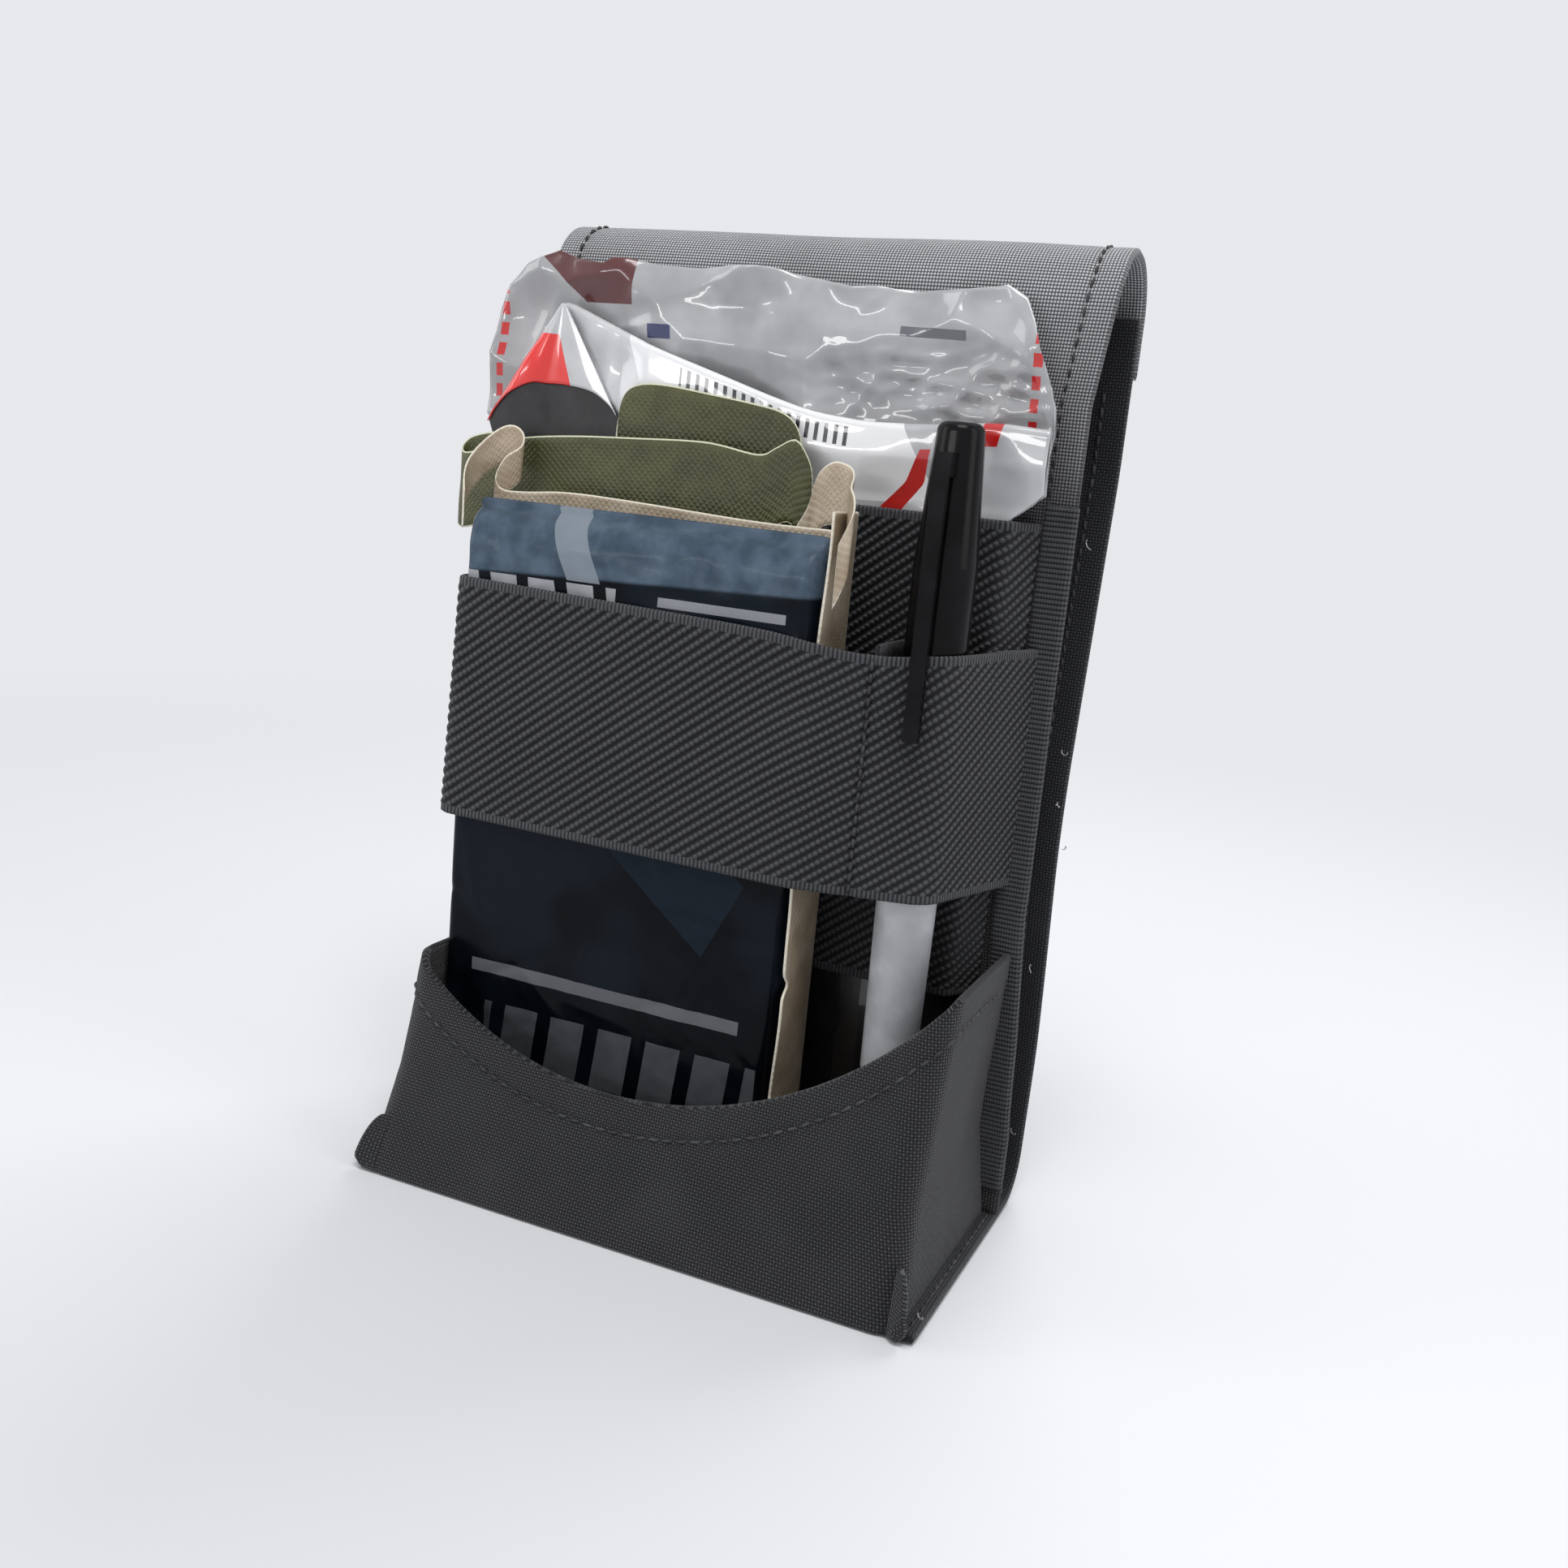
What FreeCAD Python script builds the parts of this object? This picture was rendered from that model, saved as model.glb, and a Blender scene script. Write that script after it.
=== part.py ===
import FreeCAD, Part
import math
import os
import Sketcher
from FreeCAD import Vector

# A loaded tourniquet pouch, standing upright on its flat base.
# X is to the right, Y to the back and Z up, in millimetres. The origin is the bottom centre of its box.
# Depths are measured forward from the front face of the back panel.

doc = FreeCAD.newDocument("tourniquet_pouch")
sheet = doc.addObject("Spreadsheet::Sheet", "Sizes")

DRIVING_SIZES = [
    ("gap", 0.3),                 # running clearance between a pack and what holds it
    ("board_width", 130),
    ("board_thick", 1.8),
    ("board_top", 211),
    ("fold_radius", 13.5),
    ("flap_angle", 60),           # where on the rolled top the rear flap begins, above level
    ("flap_slit", 0.6),           # the angle left open between the rolled top and the flap
    ("flap_drop", 11.5),
    ("flap_hem_height", 6),
    ("flap_hem_thick", 1.0),
    ("patch_thick", 0.8),
    ("patch_height", 9),
    ("patch_margin", 9),
    ("lining_thick", 1.0),
    ("lining_bottom", 48),
    ("lining_top", 150),
    ("strip_thick", 1.6),
    ("strap_join", 2),            # how far behind the board face the rear strap leaves the base
    ("strap_heel", 17.5),
    ("strap_heel_radius", 11),
    ("strap_bulge", 19.5),
    ("strap_bulge_height", 36),
    ("strap_waist", 12.5),
    ("strap_waist_height", 90),
    ("strap_head_height", 165),
    ("binding_thick", 0.8),
    ("binding_back", 10),
    ("binding_left_lip", 1.1),
    ("binding_right_lip", 5.8),
    ("binding_bottom", 8),
    ("binding_top", 158),
    ("pocket_depth", 58),
    ("pocket_wall", 1.2),
    ("pocket_back_gap", 1.0),
    ("pocket_foot_half", 64.6),
    ("pocket_left_half", 63.6),
    ("pocket_waist_right", 59.8),
    ("pocket_mouth_right", 61),
    ("pocket_waist_depth", 50),
    ("pocket_waist_height", 22),
    ("pocket_mouth_depth", 39),
    ("pocket_mouth_height", 62),
    ("pocket_corner", 5),
    ("scallop_radius", 88),
    ("scallop_low", 28),
    ("scallop_shift", 9),          # how far left of the middle the mouth dips lowest
    ("hem_width", 8),
    ("hem_thick", 0.6),
    ("sewn_lap", 0.12),           # left between cloths that are sewn flat on each other
    ("seam_reach", 2.0),
    ("seam_height", 10),
    ("seam_thick", 1.6),
    ("elastic_thick", 1.3),
    ("rear_band_bottom", 52.4),
    ("rear_band_height", 101.6),
    ("front_band_bottom", 77.5),
    ("front_band_height", 50.8),
    ("band_corner", 3),
    ("band_spread", 4.5),         # how far a band's right end spreads past the pack that it holds
    ("front_band_right", 57.4),
    ("divider_across", 33.5),
    ("divider_thick", 1.0),
    ("film", 0.3),
    ("seal_height", 7),
    ("seal_thick", 1.2),
    ("foil_left", -60.2),
    ("foil_width", 110),
    ("foil_thick", 7),
    ("foil_corner", 2.5),
    ("foil_height", 200),
    ("foil_flare_left", 6.4),       # how far the slack head of the foil pouch spreads past its body
    ("foil_flare_right", 6.8),
    ("disc_radius", 48),
    ("disc_thick", 1.4),
    ("disc_height", 70),
    ("dressing_left", -60.6),
    ("dressing_width", 71),
    ("dressing_thick", 5.5),
    ("dressing_height", 160),
    ("dressing_tab_left", -37),
    ("dressing_tab_width", 42),
    ("dressing_tab_top", 175),
    ("dressing_tab_round", 7),
    ("gauze_left", -61.2),
    ("gauze_width", 82),
    ("gauze_thick", 5),
    ("gauze_height", 149),
    ("gauze_flange", 15),
    ("gauze_seal_top", 158),
    ("gauze_layers", 4),
    ("gauze_sheet", 0.7),
    ("tourniquet_left", -61.9),
    ("tourniquet_width", 82.6),
    ("tourniquet_thick", 14),
    ("tourniquet_height", 146),
    ("band_fold_width", 74),
    ("band_sheet_height", 102),
    ("band_sheet", 0.8),
    ("band_layers", 13),
    ("band_pitch", 0.98),
    ("marker_across", 43),
    ("marker_depth", 22),
    ("marker_foot", 38.5),
    ("marker_length", 134),
    ("barrel_radius", 6.3),
    ("barrel_bore", 5.1),
    ("barrel_length", 78),
    ("barrel_taper", 0.5),
    ("plug_length", 6),
    ("reservoir_radius", 4.2),
    ("reservoir_length", 58),
    ("section_length", 20),
    ("section_radius", 4.1),
    ("nib_radius", 1.2),
    ("nib_length", 12),
    ("cap_radius", 6.4),
    ("cap_tip_radius", 4.6),
    ("cap_wall", 1.2),
    ("cap_solid", 16),            # how much of the cap's head is solid, above its hollow
    ("cap_dome", 2.0),
    ("vent_radius", 2.0),         # the small blind vent in the cap's end
    ("vent_depth", 1.5),
    ("liner_wall", 0.8),
    ("clip_reach", 9.0),
    ("clip_thick", 1.5),
    ("clip_width", 3.2),
    ("clip_length", 56),
    ("clip_drop", 6),
]

DERIVED_SIZES = [
    ("back_reach", "2 * fold_radius + flap_hem_thick"),
    ("board_front", "(pocket_depth - back_reach) / 2"),
    ("floor_height", "strip_thick + gap"),
    ("fold_centre", "board_top - fold_radius"),
    ("foil_front", "gap + foil_thick"),
    ("rear_band_in", "foil_front + gap"),
    ("dressing_back", "rear_band_in + elastic_thick + gap"),
    ("dressing_front", "dressing_back + dressing_thick"),
    ("gauze_back", "dressing_front + gap"),
    ("gauze_front", "gauze_back + gauze_thick"),
    ("tourniquet_back", "gauze_front + gap"),
    ("tourniquet_front", "tourniquet_back + tourniquet_thick"),
    ("front_band_in", "tourniquet_front + gap"),
    ("marker_y", "board_front - marker_depth"),
    ("cap_length", "marker_length - barrel_length"),
]


def fill_sheet():
    row = 1
    for name, value in DRIVING_SIZES:
        sheet.set("A%d" % row, name)
        sheet.set("B%d" % row, str(value))
        sheet.setAlias("B%d" % row, name)
        row += 1
    for name, formula in DERIVED_SIZES:
        sheet.set("A%d" % row, name)
        sheet.set("B%d" % row, "=" + formula)
        sheet.setAlias("B%d" % row, name)
        row += 1
    doc.recompute()


def size(name):
    return float(sheet.get(name))


fill_sheet()
NODES = []


def keep(thing, label):
    thing.Label = label
    NODES.append(thing)
    return thing


# Helpers for the parametric bodies

def origin_plane(body, role):
    for feature in body.Origin.OriginFeatures:
        if feature.Role == role:
            return feature


def new_body(label):
    return keep(doc.addObject("PartDesign::Body", "Body_" + label), label)


def new_sketch(body, role, name, offset=None):
    sketch = body.newObject("Sketcher::SketchObject", name)
    sketch.AttachmentSupport = [(origin_plane(body, role), "")]
    sketch.MapMode = "FlatFace"
    if offset is not None:
        sketch.setExpression("AttachmentOffset.Base.z", offset)
    return sketch


def evaluated(expression):
    return float(sheet.evalExpression(expression.replace("Sizes.", "")))


def bound_outline(sketch, corners):
    """Closes a polygon whose corner coordinates are expressions of the sheet."""
    count = len(corners)
    spots = [Vector(evaluated(x), evaluated(y), 0) for x, y in corners]
    for i in range(count):
        sketch.addGeometry(Part.LineSegment(spots[i], spots[(i + 1) % count]))
    for i in range(count):
        sketch.addConstraint(Sketcher.Constraint("Coincident", i, 2, (i + 1) % count, 1))
    for i in range(count):
        bind_coordinate(sketch, "DistanceX", i, spots[i].x, corners[i][0], -2)
        bind_coordinate(sketch, "DistanceY", i, spots[i].y, corners[i][1], -1)


def bind_coordinate(sketch, kind, line, value, expression, axis):
    """Ties the first point of a line to the sheet, or to the axis where its coordinate is zero."""
    if abs(value) < 1e-7:
        sketch.addConstraint(Sketcher.Constraint("PointOnObject", line, 1, axis))
        return
    index = sketch.addConstraint(Sketcher.Constraint(kind, -1, 1, line, 1, value))
    sketch.setExpression("Constraints[%d]" % index, expression)


def rectangle(x_low, x_high, y_low, y_high):
    return [(x_low, y_low), (x_high, y_low), (x_high, y_high), (x_low, y_high)]


def new_pad(body, name, role, offset, corners, length):
    sketch = new_sketch(body, role, "Outline_" + name, offset)
    bound_outline(sketch, corners)
    pad = body.newObject("PartDesign::Pad", name)
    pad.Profile = sketch
    pad.setExpression("Length", length)
    return pad


def slab(label, x_low, x_high, y_low, y_high, z_low, z_high):
    """A flat sheet or block: a rectangle drawn in plan and padded up."""
    body = new_body(label)
    plan = rectangle(x_low, x_high, y_low, y_high)
    new_pad(body, "Pad_" + label, "XY_Plane", z_low, plan, "(%s) - (%s)" % (z_high, z_low))
    return body


def new_turn(body, name, corners):
    """Turns an outline, given as radius and height, about the marker's upright axis."""
    sketch = new_sketch(body, "XZ_Plane", "Profile_" + name, "-Sizes.marker_y")
    sketch.setExpression("AttachmentOffset.Base.x", "Sizes.marker_across")
    bound_outline(sketch, corners)
    turn = body.newObject("PartDesign::Revolution", name)
    turn.Profile = sketch
    turn.ReferenceAxis = (sketch, ["V_Axis"])
    turn.Angle = 360
    return turn


def turned(label, corners):
    body = new_body(label)
    new_turn(body, "Turn_" + label, corners)
    return body


def feature(label, shape):
    made = doc.addObject("Part::Feature", "Shape_" + label)
    made.Shape = shape
    return keep(made, label)


# Helpers for ribbons: a strip of constant thickness that follows straight runs joined by arcs

def offset_corners(points, distance):
    """Moves an open chain of straight runs sideways, to its left."""
    moved = []
    for i, point in enumerate(points):
        before = (point - points[i - 1]).normalize() if i > 0 else None
        after = (points[i + 1] - point).normalize() if i < len(points) - 1 else None
        first = before or after
        second = after or before
        left_first = Vector(-first.y, first.x, 0)
        left_second = Vector(-second.y, second.x, 0)
        bisector = (left_first + left_second).normalize()
        moved.append(point + bisector * (distance / bisector.dot(left_first)))
    return moved


def turn_sign(points, i):
    before = points[i] - points[i - 1]
    after = points[i + 1] - points[i]
    return 1 if before.x * after.y - before.y * after.x > 0 else -1


def rounded_chain(points, radii):
    edges = []
    start = points[0]
    for i in range(1, len(points) - 1):
        before = (points[i] - points[i - 1]).normalize()
        after = (points[i + 1] - points[i]).normalize()
        turn = before.getAngle(after)
        reach = radii[i - 1] * math.tan(turn / 2)
        enter = points[i] - before * reach
        leave = points[i] + after * reach
        inward = (after - before).normalize()
        sagitta = radii[i - 1] * (1 / math.cos(turn / 2) - 1)
        edges.append(Part.LineSegment(start, enter).toShape())
        edges.append(Part.Arc(enter, points[i] + inward * sagitta, leave).toShape())
        start = leave
    edges.append(Part.LineSegment(start, points[-1]).toShape())
    return edges


def ribbon_face(points, radii, thickness):
    """The face between a rounded chain and the same chain moved by the thickness to its left."""
    moved = offset_corners(points, thickness)
    moved_radii = [r - thickness * turn_sign(points, i + 1) for i, r in enumerate(radii)]
    near = rounded_chain(points, radii)
    far = rounded_chain(moved, moved_radii)
    caps = [Part.LineSegment(points[-1], moved[-1]).toShape(), Part.LineSegment(points[0], moved[0]).toShape()]
    wire = Part.Wire(Part.__sortEdges__(near + far + caps))
    return Part.Face(wire)


def plan_ribbon(label, points, radii, thickness, bottom, height):
    """A band that stands upright: its plan runs through points of x and forward depth."""
    front = size("board_front")
    chain = [Vector(x, front - depth, 0) for x, depth in points]
    band = feature(label, ribbon_face(chain, radii, thickness).extrude(Vector(0, 0, height)))
    band.Placement.Base = Vector(0, 0, bottom)
    return band


def tangent_corner(start, end, centre, radius):
    """Where two lines meet that leave start and end and both touch a circle, on its outer side."""
    to_centre = [(centre[0] - p[0], centre[1] - p[1]) for p in (start, end)]
    angles = []
    for (across, forward), side in zip(to_centre, (1, -1)):
        angles.append(math.atan2(forward, across) + side * math.asin(radius / math.hypot(across, forward)))
    (c1, s1), (c2, s2) = [(math.cos(a), math.sin(a)) for a in angles]
    gap_x, gap_y = end[0] - start[0], end[1] - start[1]
    run = (gap_x * s2 - gap_y * c2) / (c1 * s2 - s1 * c2)
    return (start[0] + run * c1, start[1] + run * s1)


# The nylon carrier: panel with its rolled top, lining, rear strap, base and flap

half_board = "Sizes.board_width / 2"
front_y = "Sizes.board_front"
back_y = "(Sizes.board_front + Sizes.board_thick)"
rear_y = "(Sizes.board_front + 2 * Sizes.fold_radius)"
fold_y = "Sizes.board_front + Sizes.fold_radius"


def add_roll(body, name, near, far, angle, reverse):
    """Turns the strip's cross section about the axis of the rolled top, up from level."""
    section = new_sketch(body, "XY_Plane", "Section_" + name, "Sizes.fold_centre")
    section.setExpression("AttachmentOffset.Base.y", fold_y)
    bound_outline(section, rectangle("-" + half_board, half_board, near, far))
    roll = body.newObject("PartDesign::Revolution", name)
    roll.Profile = section
    roll.ReferenceAxis = (section, ["H_Axis"])
    roll.setExpression("Angle", angle)
    roll.Reversed = reverse


def make_back_panel():
    body = slab("back_panel", "-" + half_board, half_board, front_y, back_y, "Sizes.strip_thick", "Sizes.fold_centre")
    add_roll(body, "Panel_roll", "-Sizes.fold_radius", "-(Sizes.fold_radius - Sizes.board_thick)",
             "180 - Sizes.flap_angle", True)


def make_panel_lining():
    inner = "Sizes.board_width / 2 - Sizes.binding_back"
    slab("panel_lining", "-(" + inner + ")", inner, back_y, back_y + " + Sizes.lining_thick",
         "Sizes.lining_bottom", "Sizes.lining_top")


def make_side_binding(label, side, lip):
    """Tape folded round the panel's long edge, from a front lip to a wider back leg."""
    def across(reach):
        return "%s(Sizes.board_width / 2 %s)" % (side, reach)
    tape_front = front_y + " - Sizes.binding_thick"
    tape_back = back_y + " + Sizes.binding_thick"
    outline = [
        (across("- " + lip), tape_front), (across("+ Sizes.binding_thick"), tape_front),
        (across("+ Sizes.binding_thick"), tape_back), (across("- Sizes.binding_back"), tape_back),
        (across("- Sizes.binding_back"), back_y), (across(""), back_y),
        (across(""), front_y), (across("- " + lip), front_y),
    ]
    body = new_body(label)
    new_pad(body, "Pad_" + label, "XY_Plane", "Sizes.binding_bottom", outline,
            "Sizes.binding_top - Sizes.binding_bottom")


def make_base_strip():
    slab("base_strip", "-" + half_board, half_board, front_y + " - Sizes.pocket_depth",
         front_y + " + Sizes.strap_join", "0", "Sizes.strip_thick")


def make_belt_strap():
    """The strip that turns up behind the panel: heel, bulge, waist and head, as one ribbon."""
    front = size("board_front")
    top = size("fold_centre")
    head = 2 * size("fold_radius") - size("board_thick") - 2 * size("patch_thick") - size("gap")
    outside = [
        (size("strap_join"), 0),
        (size("strap_heel"), 0),
        (size("strap_bulge"), size("strap_bulge_height")),
        (size("strap_waist"), size("strap_waist_height")),
        (head, size("strap_head_height")),
        (head, top),
    ]
    chain = [Vector(front + back, up, 0) for back, up in outside]
    radii = [size("strap_heel_radius"), 60, 120, 60]
    profile = ribbon_face(chain, radii, size("strip_thick"))
    width = size("board_width")
    profile.Placement = FreeCAD.Placement(Vector(-width / 2, 0, 0), FreeCAD.Rotation(Vector(0, 1, 0), Vector(0, 0, 1), Vector(1, 0, 0)))
    feature("belt_strap", profile.extrude(Vector(width, 0, 0)))


def make_belt_flap():
    """The end of the strip past the rolled top, with its folded hem, which laps over the strap's head."""
    body = slab("belt_flap", "-" + half_board, half_board, rear_y + " - Sizes.board_thick", rear_y,
                "Sizes.fold_centre - Sizes.flap_drop", "Sizes.fold_centre")
    add_roll(body, "Flap_roll", "Sizes.fold_radius - Sizes.board_thick", "Sizes.fold_radius",
             "Sizes.flap_angle - Sizes.flap_slit", False)
    new_pad(body, "Flap_hem", "XY_Plane", "Sizes.fold_centre - Sizes.flap_drop",
            rectangle("-" + half_board, half_board, rear_y, rear_y + " + Sizes.flap_hem_thick"),
            "Sizes.flap_hem_height")


def make_patches():
    """Hook tape under the flap and loop tape on the strap's head, one gap apart."""
    reach = "(Sizes.board_width / 2 - Sizes.patch_margin)"
    hook_y = rear_y + " - Sizes.board_thick"
    loop_y = hook_y + " - Sizes.patch_thick - Sizes.gap"
    for label, outer_y in (("hook_patch", hook_y), ("loop_patch", loop_y)):
        slab(label, "-" + reach, reach, outer_y + " - Sizes.patch_thick", outer_y,
             "Sizes.fold_centre - Sizes.flap_drop + 1", "Sizes.fold_centre - Sizes.flap_drop + 1 + Sizes.patch_height")


# The pocket at the foot: a wall lofted from its square foot to its narrower mouth

def pocket_section(height, left, right, depth, grow, back):
    front = size("board_front")
    low, high = -(left + grow), right + grow
    near = front - depth - grow
    corner = size("pocket_corner") + grow
    slant = corner * (1 - math.sqrt(0.5))
    spots = [Vector(x, y, height) for x, y in (
        (low, back), (low, near + corner), (low + slant, near + slant), (low + corner, near),
        (high - corner, near), (high - slant, near + slant), (high, near + corner), (high, back))]
    edges = [
        Part.LineSegment(spots[0], spots[1]), Part.Arc(spots[1], spots[2], spots[3]),
        Part.LineSegment(spots[3], spots[4]), Part.Arc(spots[4], spots[5], spots[6]),
        Part.LineSegment(spots[6], spots[7]), Part.LineSegment(spots[7], spots[0]),
    ]
    return Part.Wire([edge.toShape() for edge in edges])


def pocket_block(grow, back):
    foot, left = size("pocket_foot_half"), size("pocket_left_half")
    sections = [
        pocket_section(size("strip_thick"), foot, foot, size("pocket_depth"), grow, back),
        pocket_section(size("pocket_waist_height"), left, size("pocket_waist_right"),
                       size("pocket_waist_depth"), grow, back),
        pocket_section(size("pocket_mouth_height"), left, size("pocket_mouth_right"),
                       size("pocket_mouth_depth"), grow, back),
    ]
    return Part.makeLoft(sections, True, False)


def scallop(radius):
    """The round cutter whose lowest line is the mouth's edge at the middle."""
    axis_height = size("scallop_low") + size("scallop_radius")
    reach = 2 * size("pocket_depth")
    return Part.makeCylinder(radius, 2 * reach, Vector(-size("scallop_shift"), -reach, axis_height), Vector(0, 1, 0))


def make_pocket():
    sewn = size("board_front") - size("pocket_back_gap")
    past_board = size("board_front") + size("board_thick")
    outer = pocket_block(0, sewn)
    hollow = pocket_block(-size("pocket_wall"), past_board)
    mouth = scallop(size("scallop_radius"))
    feature("pocket_shell", outer.cut(hollow).cut(mouth))
    band = scallop(size("scallop_radius") + size("hem_width")).cut(mouth)
    lap = size("sewn_lap")
    beside = pocket_block(lap, past_board)
    skin = pocket_block(lap + size("hem_thick"), sewn).cut(beside)
    feature("pocket_hem", skin.common(band))
    feature("corner_seams", seam_fins(beside))


def seam_fins(block):
    """The two sewn corners that stand out sideways at the foot, each a thin rounded plate."""
    front = size("board_front") - size("pocket_depth")
    outside = size("pocket_foot_half") + size("seam_reach")
    inside = size("pocket_waist_right")
    low = size("strip_thick")
    fins = []
    for side in (-1, 1):
        corner = Vector(inside if side > 0 else -outside, front, low)
        plate = Part.makeBox(outside - inside, size("seam_thick"), size("seam_height"), corner)
        edges = [e for e in plate.Edges if abs(e.CenterOfMass.x) > outside - 0.01
                 and abs(e.CenterOfMass.y - front - size("seam_thick") / 2) < 0.01]
        fins += plate.makeFillet(size("seam_reach") - 0.1, edges).cut(block).Solids
    return Part.makeCompound([fin for fin in fins if abs(fin.CenterOfMass.x) > size("pocket_foot_half") - 3])


# The elastic bands that hold the packs

def make_rear_band():
    inner = size("rear_band_in")
    left = size("foil_left") - size("gap")
    right = size("foil_left") + size("foil_width") + size("gap")
    points = [(left, 0), (left, inner), (right, inner), (right + size("band_spread"), 0)]
    plan_ribbon("rear_elastic_band", points, [size("foil_corner")] * 2, -size("elastic_thick"),
                size("rear_band_bottom"), size("rear_band_height"))


def make_front_band():
    inner = size("front_band_in")
    left = size("tourniquet_left") - size("gap")
    shoulder = (size("tourniquet_left") + size("tourniquet_width") + size("band_corner") * 0.4, inner)
    end = (size("front_band_right"), 0)
    grip = size("cap_radius") + size("gap")
    centre = (size("marker_across"), size("marker_depth"))
    wrap = tangent_corner(shoulder, end, centre, grip)
    plan_ribbon("front_elastic_band", [(left, 0), (left, inner), shoulder, wrap, end],
                [size("band_corner"), size("band_corner"), grip], -size("elastic_thick"),
                size("front_band_bottom"), size("front_band_height"))
    slope = (wrap[1] - shoulder[1]) / (wrap[0] - shoulder[0])
    across = size("divider_across")
    behind = size("rear_band_in") + size("elastic_thick")
    ahead = shoulder[1] + (across + size("divider_thick") - shoulder[0]) * slope
    plan_ribbon("bay_divider", [(across, behind), (across, ahead)], [], size("divider_thick"),
                size("front_band_bottom"), size("front_band_height"))


# The packs: film envelopes, thin at their crimped ends, round what they hold

def rounded_rectangle(x_low, x_high, y_low, y_high, height, corner):
    slant = corner * (1 - math.sqrt(0.5))
    corners = [(x_low, y_low, 1, 1), (x_high, y_low, -1, 1), (x_high, y_high, -1, -1), (x_low, y_high, 1, -1)]
    edges = []
    last = None
    first = None
    for i, (x, y, right, up) in enumerate(corners):
        along_x = Vector(x + right * corner, y, height)
        along_y = Vector(x, y + up * corner, height)
        middle = Vector(x + right * slant, y + up * slant, height)
        enter, leave = (along_y, along_x) if i % 2 == 0 else (along_x, along_y)
        if last is not None:
            edges.append(Part.LineSegment(last, enter).toShape())
        else:
            first = enter
        edges.append(Part.Arc(enter, middle, leave).toShape())
        last = leave
    edges.append(Part.LineSegment(last, first).toShape())
    return Part.Wire(edges)


def pillow(name, depth_back, grow, bottom, top, end_thick, seal, flare=(0, 0)):
    """A pillow from its crimped foot to its crimped head, drawn at a few levels."""
    left = size(name + "_left") - grow
    right = size(name + "_left") + size(name + "_width") + grow
    thick = size(name + "_thick") + 2 * grow
    middle = size("board_front") - size(depth_back) - size(name + "_thick") / 2
    shoulder = size("seal_height") * 0.6
    foot = [(bottom, end_thick, 0), (bottom + seal, end_thick, 0), (bottom + seal + shoulder, thick * 0.88, 0),
            (bottom + seal + 2 * shoulder, thick, 0)]
    head = [(top - (level - bottom), width, 1) for level, width, spread in reversed(foot)]
    if any(flare):
        band_top = size("rear_band_bottom") + size("rear_band_height")
        head.insert(0, (band_top, thick, 0))
    wires = []
    for level, width, spread in foot + head:
        wires.append(rounded_rectangle(left - spread * flare[0], right + spread * flare[1],
                                       middle - width / 2, middle + width / 2, level, width * 0.4))
    return Part.makeLoft(wires, True, True)


def envelope(name, depth_back, flare=(0, 0)):
    """The film with the hollow that it closes round."""
    bottom = size("floor_height")
    top = bottom + size(name + "_height")
    seal = size("seal_height")
    film = size("film")
    outer = pillow(name, depth_back, 0, bottom, top, size("seal_thick"), seal, flare)
    hollow = pillow(name, depth_back, -film, bottom + seal, top - seal, size("seal_thick") - 2 * film, film, flare)
    return outer.cut(hollow)


def folded_sheet(left, width, back, pitch, layers, thick, bottom, height):
    """A sheet folded to and fro in flat layers, as one ribbon that turns at each end."""
    front = size("board_front")
    ends = (left + pitch, left + width - pitch)
    levels = [front - back - thick / 2 - i * pitch for i in range(layers)]
    sides = []
    for side in (1, -1):
        edges = []
        for i, level in enumerate(levels):
            way = 1 if i % 2 == 0 else -1
            start, finish = (ends[0], ends[1]) if way > 0 else (ends[1], ends[0])
            here = level + side * way * thick / 2
            edges.append(Part.LineSegment(Vector(start, here, 0), Vector(finish, here, 0)).toShape())
            if i < layers - 1:
                bend = pitch / 2 + side * way * thick / 2
                there = levels[i + 1] - side * way * thick / 2
                edges.append(Part.Arc(Vector(finish, here, 0), Vector(finish + way * bend, level - pitch / 2, 0),
                                      Vector(finish, there, 0)).toShape())
        sides.append(edges)
    caps = []
    for pick in (0, -1):
        points = [edges[pick].Vertexes[pick].Point for edges in sides]
        caps.append(Part.LineSegment(points[0], points[1]).toShape())
    wire = Part.Wire(Part.__sortEdges__(sides[0] + sides[1] + caps))
    return Part.Face(wire).extrude(Vector(0, 0, height)).translated(Vector(0, 0, bottom))


def make_tourniquet_pack():
    feature("tourniquet_wrapper", envelope("tourniquet", "tourniquet_back"))
    layers = int(size("band_layers"))
    slack = size("tourniquet_thick") - (layers - 1) * size("band_pitch") - size("band_sheet")
    spare = size("tourniquet_width") - size("band_fold_width")
    bottom = size("floor_height") + (size("tourniquet_height") - size("band_sheet_height")) / 2
    feature("tourniquet_band", folded_sheet(
        size("tourniquet_left") + spare / 2, size("band_fold_width"), size("tourniquet_back") + slack / 2,
        size("band_pitch"), layers, size("band_sheet"), bottom, size("band_sheet_height")))


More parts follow.
